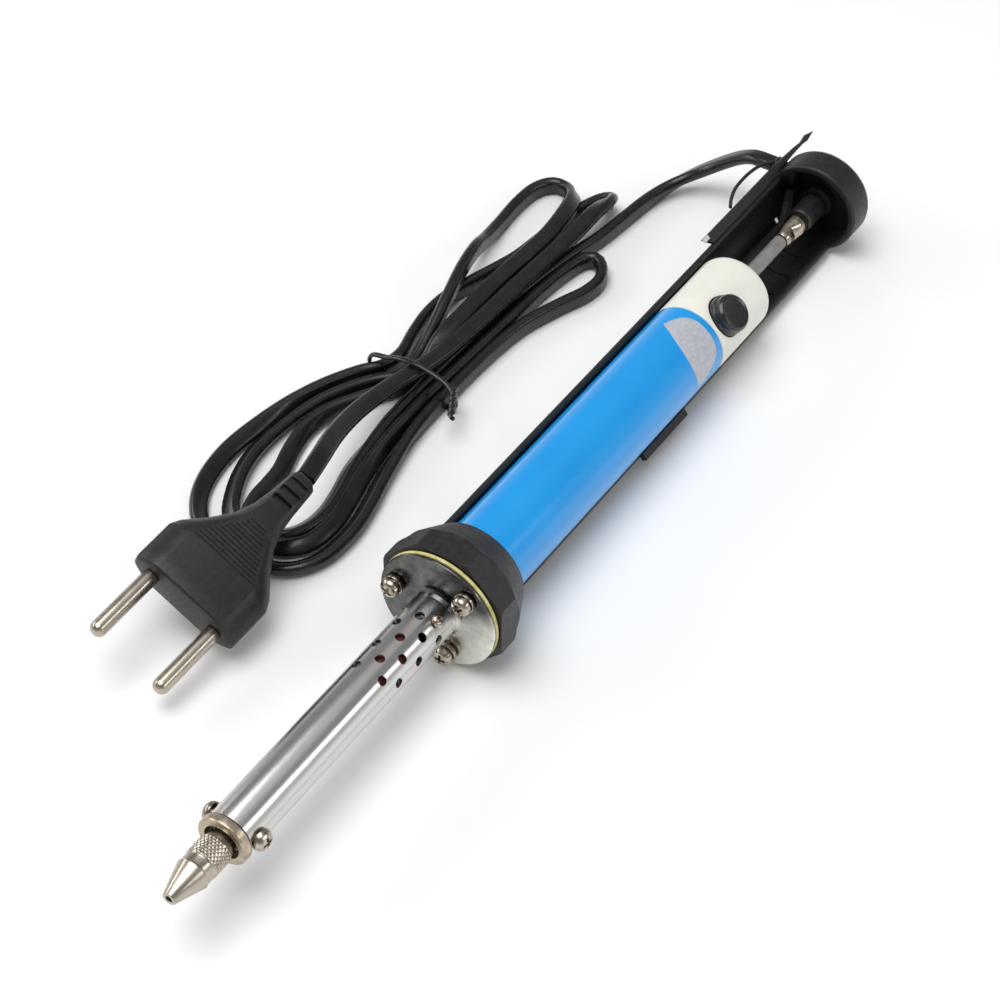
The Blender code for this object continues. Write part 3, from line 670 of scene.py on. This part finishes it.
def crimped(x, radius, angle):
    """The sleeve is pinched flat where it starts and round again at its rear."""
    squeeze = 0.32 * max(0.0, 1 - abs(x - 249.3) / 2.6)
    return radius * (1 - squeeze * math.cos(math.radians(angle - 20)) ** 2)


ferrule = finer([(245.6, 0), (245.6, 2.0), (246.4, 2.25), (249.5, 2.75), (253.4, 2.9), (254.6, 2.6)],
                245.6, 254.6, 0.4)
piece("ferrule_crimped", turned(ferrule + [(254.6, 0)], TOOL, sides=48, shape=crimped), bright, "plunger",
      "ferrule_nickel", "rod_ferrule")
piece("boss_moulded", turned([(254.9, 0), (254.9, 2.9), (255.6, 3.3), (262.6, 3.3), (263.6, 2.5),
                              (263.6, 0)], TOOL, sides=48, cut=0.3), moulded, "plunger", "handle_black",
      "plunger_boss")

# ---- Handle shell ---------------------------------------------------------------------------
# The moulded black handle: a half tube round the pump, open towards the button, with a duct
# down its back for the heater's wires and a snap lug on its rim.
SHELL_FRONT, SHELL_REAR = 109.6, 261.0


def arc(low, high, radius, steps):
    """(angle, radius) points from one angle to the other."""
    return [(low + (high - low) * i / steps, radius) for i in range(steps + 1)]


def lofted(sections):
    """A closed skin over a row of sections, each a closed loop of the same number of points."""
    skin = bmesh.new()
    rings = [[skin.verts.new(point) for point in section] for section in sections]
    for low, high in zip(rings, rings[1:]):
        for k in range(len(low)):
            skin.faces.new((low[k - 1], low[k], high[k], high[k - 1]))
    for end in (rings[0], rings[-1]):
        skin.faces.new(end)
    bmesh.ops.recalc_face_normals(skin, faces=skin.faces)
    mesh = bpy.data.meshes.new("lofted")
    skin.to_mesh(mesh)
    skin.free()
    return mesh


def bar(x, y, z):
    """A block between two corners, given as (low, high) in each direction."""
    return lofted([[(a, y[0], z[0]), (a, y[1], z[0]), (a, y[1], z[1]), (a, y[0], z[1])] for a in x])


def shell_section(x, thinner):
    """The shell's wall at station x, thinner by that much at its edges."""
    rim, duct = 101 + thinner * 3, 12
    wall = ([(rim, 10.65), (rim - 0.8, 11.15), (rim, 11.7)] + arc(rim + 2, 164, 12 - thinner, 28)
            + [(165.5, 12.3 - thinner)] + arc(180 - duct, 180 + duct, 13.75 - thinner, 8)
            + [(194.5, 12.3 - thinner)] + arc(196, 358 - rim, 12 - thinner, 28)
            + [(360 - rim, 11.7), (360.8 - rim, 11.15), (360 - rim, 10.65)]
            + arc(357 - rim, 192, 10.3 + thinner, 24) + [(191, 12.3)] + arc(190, 170, 12.5, 4)
            + [(169, 12.3)] + arc(168, rim + 3, 10.3 + thinner, 24))
    return [round_axis(x, r, a) for a, r in wall]


stations = [(SHELL_FRONT, 0.35), (SHELL_FRONT + 0.35, 0.0)]
stations += [(SHELL_FRONT + 1 + (SHELL_REAR - SHELL_FRONT - 2) * i / 24, 0.0) for i in range(25)]
stations += [(SHELL_REAR - 0.35, 0.0), (SHELL_REAR, 0.35)]
shell = lofted([shell_section(x, thinner) for x, thinner in stations])
lug = bar((168.0, 187.0), (-0.7, 0.7), (11.0, 12.9))
lug.transform(Matrix.Rotation(math.radians(98), 4, "X"))
shell = carved(shell, lug, operation="UNION")
piece("handle_shell_moulded", settled(shell, TOOL, 30), moulded, "tool", "handle_black", "handle_shell")

# Four low ribs run across the shell's hollow, behind the housing, as moulded stiffeners.
stiffeners = Pattern("shell_ribs", {"Count": "Int", "Pitch": "Float"})
rib_line = stiffeners.add("GeometryNodeMeshLine", {"mode": "OFFSET"}, Count=stiffeners.given("Count"),
                          Offset=stiffeners.add("ShaderNodeCombineXYZ", {}, stiffeners.given("Pitch"),
                                                0.0, 0.0))
stiffeners.end(stiffeners.add("GeometryNodeInstanceOnPoints", {}, rib_line,
                              Instance=stiffeners.given("Geometry")), moulded)
RIB_FRONT, RIB_WIDE, RIB_TALL, RIB_TAPER, RIB_PITCH = 228.0, 1.0, 0.6, 0.1, 8.5
one_rib = lofted([[round_axis(RIB_FRONT, r, a), round_axis(RIB_FRONT + RIB_WIDE, r, a),
                   round_axis(RIB_FRONT + RIB_WIDE - RIB_TAPER, r - RIB_TALL, a),
                   round_axis(RIB_FRONT + RIB_TAPER, r - RIB_TALL, a)]
                  for a, r in arc(112, 166, 10.45, 18)])
ribs = stiffeners.grow(one_rib, {"Count": 4, "Pitch": RIB_PITCH})
piece("shell_stiffeners", settled(ribs, TOOL), moulded, "tool", "handle_black")

# ---- End cap --------------------------------------------------------------------------------
# A black moulded cup that closes the handle, glued in the shell's end. The cord's rubber
# grommet comes through its upper side.
cap = turned([(264.2, 0), (264.2, 4.0), (267.2, 4.0), (267.2, 10.5), (261.3, 10.5), (261.3, 11.9),
              (261.8, 12.3), (268.7, 12.3), (269.8, 11.8), (270.2, 10.8), (270.2, 0)], UNPLACED,
             sides=144, cut=0.3)
hollow = Finish("hollow black plastic", Specular_IOR_Level=0.4)
# Painted shade: the cup's inside is painted near black and made rougher, darker than the same plastic
# outside, for the shade deep in the hollow.
painted_shade_inside = (hollow.ease(hollow.reading("reach"), 11.0, 10.6)
         * hollow.ease(hollow.reading("station"), 269.0, 268.0))
outside = hollow.mottled((0.018, 0.018, 0.018, 1), (0.009, 0.009, 0.010, 1), 1.2, 5.0)
hollow.set(Base_Color=hollow.mix(painted_shade_inside, outside, (0.0025, 0.0025, 0.0025, 1)),
           Roughness=hollow.uneven(0.34, 0.50, 0.7) + painted_shade_inside * 0.35)
hollow.bump(hollow.grain(0.28, 3.0), 0.025)
GROMMET = (Matrix.Translation((265.8, 0, 0)) @ Matrix.Rotation(math.radians(-45), 4, "X")
           @ Matrix.Rotation(math.radians(-90), 4, "X") @ Matrix.Translation((0, -4.5, 0)))
UP_FROM_X = Matrix.Rotation(math.radians(-90), 4, "Y")
hole = turned([(6.2, 0), (6.2, 2.6), (14, 2.6), (14, 0)], UNPLACED, sides=48, cut=0.05)
hole.transform(GROMMET @ UP_FROM_X)
piece("end_cap_moulded", settled(carved(cap, hole), TOOL), hollow, "tool", "handle_black", "end_cap")

rubber = Finish("black rubber")
rubber.set(Base_Color=rubber.mix(rubber.grain(3.0, 4.0), (0.009, 0.009, 0.009, 1),
                                 (0.015, 0.015, 0.016, 1)), Roughness=rubber.uneven(0.5, 0.7, 1.0))
rubber.bump(rubber.grain(0.4), 0.02)
grommet = turned([(6.9, 0), (6.9, 2.5), (12.4, 2.5), (12.4, 3.1), (13.1, 3.05), (13.4, 2.6), (13.4, 0)],
                 UNPLACED, sides=56, cut=0.2)
grommet.transform(GROMMET @ UP_FROM_X)
piece("grommet_rubber", settled(grommet, TOOL), rubber, "tool", "cord_black", "cord_grommet")

# ---- Side blade and wire loop ---------------------------------------------------------------
# A slim black strip lies along the shell's rim, pointed past the cap like a spear, with its
# cut end bare and pale. A thin wire loop stands out beside it.
OUTER_EDGE, INNER_EDGE, BLADE_Z = 14.3, 11.6, (-2.6, -1.7)
blade_rows = [(225.5, OUTER_EDGE - 0.05, OUTER_EDGE), (228, INNER_EDGE, OUTER_EDGE),
              (260, INNER_EDGE, OUTER_EDGE), (262, 12.45, OUTER_EDGE), (272, 12.72, 13.8),
              (274.5, 12.75, 13.5), (276.8, 12.5, 13.95), (277.4, 12.6, 14.0), (280.4, 13.17, 13.25)]
low, high = BLADE_Z
blade = lofted([[(x, a, low), (x, b, low), (x, b, high - 0.2), (x, b - min(0.2, (b - a) / 3), high),
                 (x, a + min(0.2, (b - a) / 3), high), (x, a, high - 0.2)] for x, a, b in blade_rows])
strip = Finish("black strip")
strip.set(Base_Color=strip.mottled((0.018, 0.018, 0.019, 1), (0.010, 0.010, 0.010, 1), 1.5, 4.0),
          Roughness=strip.uneven(0.32, 0.52, 0.8))
strip.bump(strip.grain(0.4), 0.02)
piece("blade_strip", settled(blade, TOOL, 25), strip, "tool", "handle_black", "side_blade")
pale = Finish("pale cut plastic", Roughness=0.6)
pale.set(Base_Color=pale.mix(pale.grain(0.6), (0.66, 0.65, 0.62, 1), (0.50, 0.49, 0.46, 1)))
pale.bump(pale.grain(0.3), 0.03)
piece("blade_cut_end", settled(bar((225.1, 227.6), (13.3, 14.4), (-1.68, -1.5)), TOOL), pale, "tool",
      "housing_cream")


def flowing(points, pitch):
    """The smooth line through the points, in even steps of pitch."""
    ends = [points[0] * 2 - points[1], *points, points[-1] * 2 - points[-2]]
    dense = []
    for a, b, c, d in zip(ends, ends[1:], ends[2:], ends[3:]):
        for i in range(24):
            t = i / 24
            dense.append(0.5 * (b * 2 + (c - a) * t + (a * 2 - b * 5 + c * 4 - d) * t ** 2
                                + (b * 3 - a - c * 3 + d) * t ** 3))
    dense.append(points[-1])
    run = [0.0]
    for a, b in zip(dense, dense[1:]):
        run.append(run[-1] + (b - a).xyz.length)
    count = max(2, round(run[-1] / pitch))
    even, k = [], 0
    for i in range(count + 1):
        goal = run[-1] * i / count
        while k < len(run) - 2 and run[k + 1] < goal:
            k += 1
        share = (goal - run[k]) / max(run[k + 1] - run[k], 1e-9)
        even.append(dense[k].lerp(dense[k + 1], min(1.0, share)))
    return even


def swept(line, outline):
    """A skin along line: outline holds (across, up) points, and a fourth part of a line's point
    turns the outline from flat, 0, to standing on its edge, 1."""
    sections = []
    for i, spot in enumerate(line):
        ahead = (line[min(i + 1, len(line) - 1)] - line[max(i - 1, 0)]).xyz.normalized()
        side = Vector((0, 0, 1)).cross(ahead).normalized()
        lift = ahead.cross(side)
        roll = math.radians(90) * spot[3]
        across = side * math.cos(roll) + lift * math.sin(roll)
        up = lift * math.cos(roll) - side * math.sin(roll)
        sections.append([tuple(spot.xyz + across * a + up * b) for a, b in outline])
    return lofted(sections)


def ellipse(wide, tall, steps):
    """An outline for swept(), with its half width and half height."""
    return [(wide * math.cos(math.tau * k / steps), tall * math.sin(math.tau * k / steps))
            for k in range(steps)]


loop_points = [(240.5, 14.75, -2.5), (243, 16.0, -3.0), (247, 17.0, -3.5), (252, 17.2, -3.8),
               (257, 16.8, -4.0), (261, 15.9, -4.0), (263.5, 14.7, -3.3)]
loop_wire = swept(flowing([Vector((*p, 0)) for p in loop_points], 0.7), ellipse(0.45, 0.45, 12))
piece("loop_of_wire", settled(loop_wire, TOOL), rubber, "tool", "cord_black", "wire_loop")

# ---- Cord -----------------------------------------------------------------------------------
# A flat black two-core mains cord, 4.8 by 3 mm. It leaves the grommet, falls to the table and
# is folded, mostly on its edge, into a hank that a wire tie pinches, and ends in the plug.
TABLE = Matrix.Translation((-half_length * MM, 0, 0))
ON_EDGE, LAID = 2.45, 6.7
cord_run = [(266.4, 14.0, 17.3, 0), (266.5, 16.6, 17.2, 0), (266.9, 20.2, 16.6, 0),
            (267.3, 24.2, 14.4, 0), (267.2, 28.5, 11.2, 0), (266.2, 33.0, 7.8, 0.1),
            (263.8, 37.2, 5.0, 0.35), (260.0, 40.3, 3.2, 0.6), (254.0, 42.3, ON_EDGE, 1), (247, 43.3),
            (240, 44), (232, 45), (220, 47.5), (206, 49.5), (193, 50.6), (178, 51), (162, 51.3),
            (146, 51.2), (131, 50.0), (122, 47.8), (114, 46.6), (107, 46.9), (101, 49), (97.6, 53),
            (97.6, 58), (101, 60.9), (107, 62.4), (113, 62.7), (120, 63.3), (127, 65.4), (135, 66.6),
            (143, 65), (152, 60.2), (162, 54.6), (168, 54.4, 4.0, 0.6), (176, 54.9, LAID, 0),
            (188, 55.3, LAID, 0), (198, 55.4, LAID, 0), (208, 55, LAID, 0), (216, 54.5, LAID, 0),
            (226, 54.4, LAID, 0), (235, 55.2, LAID, 0), (242, 57, 5.4, 0.3), (247, 59.8, 3.6, 0.7),
            (249.6, 63, ON_EDGE, 1), (249, 67, ON_EDGE, 1), (244, 69.8, ON_EDGE, 1), (236, 70.4),
            (226, 69.8), (216, 68.4, 4.0, 1), (208, 66.8, 6.6, 1), (198, 64.6, 7.6, 1),
            (188, 61.8, 7.3, 1), (177, 59.4, 4.8, 1), (169, 58, 2.9, 1), (162, 57.9), (156, 62.6),
            (150, 66.4), (142, 70), (132, 72.4), (122, 72.6), (113, 71), (105, 68.3), (98.5, 65),
            (94.4, 60), (93.3, 54), (94.8, 48.6), (98.6, 44.8), (104, 43.1), (112, 42.9), (121, 44.3),
            (131, 46.5), (143, 47.8), (153, 48.1), (162, 48.0), (176, 47.5), (191, 47.0), (206, 46.4),
            (217, 45.4), (224.5, 43.9), (227, 41), (224, 37.6), (219, 36), (213, 36.7), (207, 38.8),
            (201, 40.8), (194, 42.9), (186, 44.1), (176, 44.7), (162, 44.8), (153, 44.7), (143, 43.8),
            (131, 41.7), (122, 39.4), (113, 38.0), (105, 37.8), (98, 38.6), (92, 41), (88, 45), (86, 51),
            (86, 58), (88, 65), (92, 70.2), (98, 74), (105, 76.4), (113, 77.7), (121, 78), (130, 77),
            (140, 74.8), (149, 71.6), (157, 67.4), (162, 63.6), (168, 62.4), (176, 64.2),
            (184, 65.4, 2.45, 1), (192, 65, 2.45, 1), (200, 63, 2.45, 1), (208, 60.6), (216, 58.6),
            (226, 57.5), (236, 56.4), (244, 55), (249.8, 52.8), (251.0, 50.4, 3.2, 0.8),
            (247.5, 49.2, 5.4, 0.35), (240, 49.0, LAID, 0), (228, 49.0, LAID, 0), (217, 49.4, LAID, 0),
            (207, 49.8, LAID, 0), (195, 50.2, LAID, 0), (182, 50.8, LAID, 0), (170, 51.6, 6.9, 0),
            (162, 52.8, 7.4, 0), (152, 54.2, 8.6, 0), (142, 54.5, 10.4, -0.05), (133, 53.4, 12.6, -0.15),
            (125, 51.4, 14.8, -0.25), (118, 49.2, 16.4, -0.3), (113, 47.9, 17.0, -0.31),
            (109.4, 47.2, 17.15, -0.31)]
# Past the lead, the hank's rear and front folds are drawn in towards its middle.
LEAD_POINTS = 15
REAR_FOLD, REAR_SHARE = 200, 0.9
FRONT_FOLD, FRONT_SHARE = 120, 0.8
# A point without a height of its own stands on edge, and leans over in the front fold.
LEAN_START, LEAN_RUN, LEAST_STAND = 118, 30, 0.4
FLAT_HEIGHT, STAND_RISE = 1.55, 0.9
cord_points = []
for i, spot in enumerate(cord_run):
    x = spot[0]
    if i >= LEAD_POINTS:
        x = min(x, REAR_FOLD + (x - REAR_FOLD) * REAR_SHARE)
        if len(spot) == 2:
            x = max(x, FRONT_FOLD - (FRONT_FOLD - x) * FRONT_SHARE)
    stand = min(1.0, max(LEAST_STAND, (x - LEAN_START) / LEAN_RUN))
    height, roll = spot[2:] if len(spot) == 4 else (FLAT_HEIGHT + STAND_RISE * stand, stand)
    cord_points.append(Vector((x, spot[1], height, roll)))
cord_line = flowing(cord_points, 1.5)
for _ in range(16):
    for before, spot, after in zip(cord_line, cord_line[1:], cord_line[2:]):
        spot[3] = (before[3] + spot[3] * 2 + after[3]) / 4
LOBE, HALF_GAP, WAIST = 1.5, 0.9, 1.30
twin = []
for k in range(20):
    angle = math.tau * k / 20
    across = math.copysign(HALF_GAP, math.cos(angle)) if abs(math.cos(angle)) > 0.05 else 0.0
    up = math.sin(angle) * (LOBE if across else WAIST)
    twin.append((across + LOBE * math.cos(angle), up))
sheath = Finish("black PVC sheath")
sheath.set(Base_Color=sheath.mottled((0.012, 0.012, 0.013, 1), (0.006, 0.006, 0.006, 1), 4.0, 4.0),
          Roughness=sheath.uneven(0.20, 0.30, 1.2))
sheath.bump(sheath.grain(0.5), 0.02)
mains_cord = piece("mains_cord", settled(swept(cord_line, twin), TABLE, 60), sheath, "tool", "cord_black",
                   "cord_lead", "cord_hank", "cord_tail")

# ---- Wire tie -------------------------------------------------------------------------------
# A black plastic-coated wire, wound once round the hank. Its two ends are twisted together at
# the hank's right side.
tie_points = [(160.6, 41.9, 8.0), (160.5, 41.3, 5.0), (160.5, 41.2, 2.2), (160.6, 42.6, 0.7),
              (160.8, 48, 0.6), (161.0, 56, 0.6), (161.2, 63.5, 0.7), (161.4, 66.6, 1.4),
              (161.5, 67.2, 3.6), (161.5, 66.0, 6.0), (161.4, 62.0, 7.2), (161.2, 57.4, 9.0),
              (161.0, 52.6, 9.7), (160.8, 47.0, 9.0), (160.4, 43.6, 8.2), (159.6, 41.6, 7.4)]
tie_loop = swept(flowing([Vector((*p, 0)) for p in tie_points], 0.7), ellipse(0.75, 0.55, 12))
tie_parts = [tie_loop]
for phase in (0, math.pi):
    twist = []
    for i in range(25):
        t = i / 24
        middle = Vector((160.4 - 8.8 * t, 41.4 - 5.2 * t, 7.7 + 0.6 * math.sin(2.6 * t)))
        spin = phase + t * math.tau * 2.4
        spread = 0.6 + 0.9 * max(0.0, t - 0.8)
        twist.append(Vector((*(middle + Vector((0.35, -0.6, 0)) * math.cos(spin) * spread
                               + Vector((0, 0, 0.75)) * math.sin(spin) * spread), 0)))
    tie_parts.append(swept(flowing(twist, 0.6), ellipse(0.55, 0.55, 10)))


def together(meshes):
    """One mesh of several."""
    joined = bmesh.new()
    for mesh in meshes:
        joined.from_mesh(mesh)
    made = bpy.data.meshes.new("together")
    joined.to_mesh(made)
    joined.free()
    return made


wire_tie = piece("wire_tie", settled(together(tie_parts), TABLE, 60), sheath, "tool", "cord_black",
                 "twist_tie")

# ---- Plug -----------------------------------------------------------------------------------
# A two-pin mains plug moulded in black on the cord's end. Its broad faces have sloped sides,
# grip ridges where they narrow, and three slots in the tail that let it bend.
plug_back = Vector((0.993, -0.057, 0.095)).normalized()
plug_left = Vector((0.03, 0.882, 0.47))
plug_up = plug_back.cross(plug_left).normalized()
plug_left = plug_up.cross(plug_back)
PLUG = (Matrix.Translation(Vector((66.5 - half_length, 49.4, 13.0)) * MM)
        @ Matrix((plug_back, plug_left, plug_up)).transposed().to_4x4())
HALF_THICK = 5.25


def plug_half_width(x):
    """Half the plug's width at x behind its face."""
    rows = [(0, 14.1), (0.5, 14.5), (11.5, 14.5), (14, 13.3), (19, 9.3), (24, 6.1), (29, 4.45),
            (34, 3.75), (42, 3.15)]
    for (a, low), (b, high) in zip(rows, rows[1:]):
        if x <= b:
            return low + (high - low) * (x - a) / (b - a)
    return rows[-1][1]


def plug_section(x, shrink=0.0):
    """The plug's outline at x behind its face, with sloped sides, smaller by shrink."""
    half = plug_half_width(x) - shrink
    block = min(1.0, max(0.0, (half - 3.2) / 10.0))
    thick = HALF_THICK - shrink - 1.35 * max(0.0, (x - 26) / 16)
    wing = 1.5 + 3.4 * block
    edge = thick * (0.42 - 0.06 * block)
    quarter = [(half, 0.0), (half, edge * 0.75), (half - 0.22, edge),
               (half - wing * 0.5, (edge + thick) * 0.5 + 0.35), (half - wing, thick - 0.12),
               (half - wing - 0.5, thick), (0.0, thick)]
    top = quarter + [(-a, b) for a, b in reversed(quarter[:-1])]
    return [(x, a, b) for a, b in top + [(a, -b) for a, b in reversed(top[1:-1])]]


plug_rows = [plug_section(0, 0.8), plug_section(0.12, 0.4), plug_section(0.45, 0.12), plug_section(0.9, 0)]
plug_rows += [plug_section(x) for x in (4, 8, 11, 11.5, 12.2, 13, 14, 15, 16.5, 18, 19, 20, 22, 24, 26,
                                        28, 29, 31, 34, 37, 40, 41.2)]
plug_rows += [plug_section(41.8, 0.35), plug_section(42, 0.8)]
plug_mesh = lofted(plug_rows)
slots = []
for x in (32.6, 35.6, 38.6):
    for side in (1, -1):
        slots.append(bar((x - 0.85, x + 0.85), (-2.5, 2.5), (3.1, 6.0) if side > 0 else (-6.0, -3.1)))
plug_mesh = carved(plug_mesh, *slots)
plug = piece("mains_plug", settled(plug_mesh, PLUG, 24), moulded, "tool", "plug_black", "plug_body")

ridges = Pattern("grip_ridges", {"Count": "Int", "Pitch": "Float", "First": "Float", "Shrink": "Float"})
ridge_number = ridges.add("GeometryNodeInputIndex")
ridge_reach = ridges.given("First") + ridge_number * ridges.given("Pitch")
ridge_place = ridges.add("ShaderNodeCombineXYZ", {}, ridge_reach, 0.0, 0.0)
ridge_points = ridges.add("GeometryNodePoints", {}, ridges.given("Count"), ridge_place)
narrowing = ridges.add("ShaderNodeMath", {"operation": "MAXIMUM"},
                       1.0 - ridge_number * ridges.given("Shrink"), 0.25)
ridge_size = ridges.add("ShaderNodeCombineXYZ", {}, 1.0, narrowing, 1.0)
ridges.end(ridges.add("GeometryNodeInstanceOnPoints", {}, ridge_points, Instance=ridges.given("Geometry"),
                      Scale=ridge_size), moulded)
grips = []
for side in (1, -1):
    tall = [(-0.28, HALF_THICK - 0.4), (-0.16, HALF_THICK + 0.26), (0.16, HALF_THICK + 0.26),
            (0.28, HALF_THICK - 0.4)]
    ridge = lofted([[(x, y, z * side) for x, z in tall] for y in (-9.0, -8.7, 8.7, 9.0)])
    grips.append(ridges.grow(ridge, {"Count": 12, "Pitch": 1.05, "First": 12.6, "Shrink": 0.072}))
piece("plug_grips", settled(together(grips), PLUG), moulded, "tool", "plug_black")

# ---- Pins -----------------------------------------------------------------------------------
# Two 4 mm round nickel-plated brass pins, 19 mm long, moulded into the plug.
for number, side in ((1, 1), (2, -1)):
    pin = turned([(-19.1, 0), (-19.1, 1.0), (-18.4, 1.75), (-17.6, 2.0), (-0.05, 2.0), (-0.05, 0)],
                 PLUG @ Matrix.Translation((0, 9.2 * side * MM, 0)), sides=48, cut=0.3)
    piece(f"pin_{number}", pin, nickel, "tool", "pin_nickel", f"plug_pin_{number}")

# ---- Parts inside ---------------------------------------------------------------------------
# The heater, its holder and leads, the pump's front plug, piston and seal, and the latch keep
# their CAD shapes. Little of them shows, through the vents and the open handle.
ceramic = Finish("heater ceramic", Roughness=0.75)
ceramic.set(Base_Color=ceramic.mix(ceramic.grain(1.5, 3.0), (0.09, 0.022, 0.02, 1), (0.20, 0.05, 0.04, 1)))
ceramic.bump(ceramic.grain(0.6), 0.04)
steel = Finish("drawn steel", Metallic=1.0)
steel.set(Base_Color=steel.mix(steel.grain(2.0), (0.42, 0.42, 0.43, 1), (0.52, 0.52, 0.53, 1)),
          Roughness=steel.uneven(0.22, 0.4, 0.8))
steel.bump(steel.grain(0.3), 0.01)
red = Finish("red silicone sleeve", Roughness=0.5)
red.set(Base_Color=red.mix(red.grain(2.0), (0.36, 0.028, 0.02, 1), (0.5, 0.05, 0.035, 1)))
red.bump(red.grain(0.5), 0.02)
inside_finish = {"nozzle_holder": (steel, "inner_steel"), "suction_tube": (steel, "inner_steel"),
                 "heating_element": (ceramic, "heater_ceramic"), "heater_lead_live": (red, "lead_red"),
                 "heater_lead_neutral": (rubber, "lead_black"),
                 "barrel_front_plug": (cream, "housing_cream"), "latch_plate": (steel, "inner_steel"),
                 "piston": (moulded, "nut_black"), "piston_seal": (rubber, "cord_black"),
                 "inner_cord": (rubber, "cord_black")}
for name, (look, slot_name) in inside_finish.items():
    node = frame["nodes"][name]
    node.data.materials.clear()
    node.data.materials.append(look.material)

# The two springs are copies of their CAD shapes, with their loose points merged and shaded smooth. On the
# real tool the pump's shortens as the plunger goes in, and the button's as it is pressed.
for name, joint, foot, way, keep in (
        ("main_spring", "plunger_slide", (109.65, 0, 0), (1, 0, 0), 0.733),
        ("button_spring", "button_press", (208.5, 3.3, -5.8), (0, 0, 1), 0.82)):
    wound = bmesh.new()
    wound.from_mesh(frame["nodes"][name].data)
    bmesh.ops.remove_doubles(wound, verts=wound.verts, dist=0.000001)
    spring = bpy.data.meshes.new(name + "_coil")
    wound.to_mesh(spring)
    wound.free()
    spring.shade_smooth()
    coil = piece(name + "_coil", spring, steel, "tool", "spring_steel", name)
    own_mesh(coil)
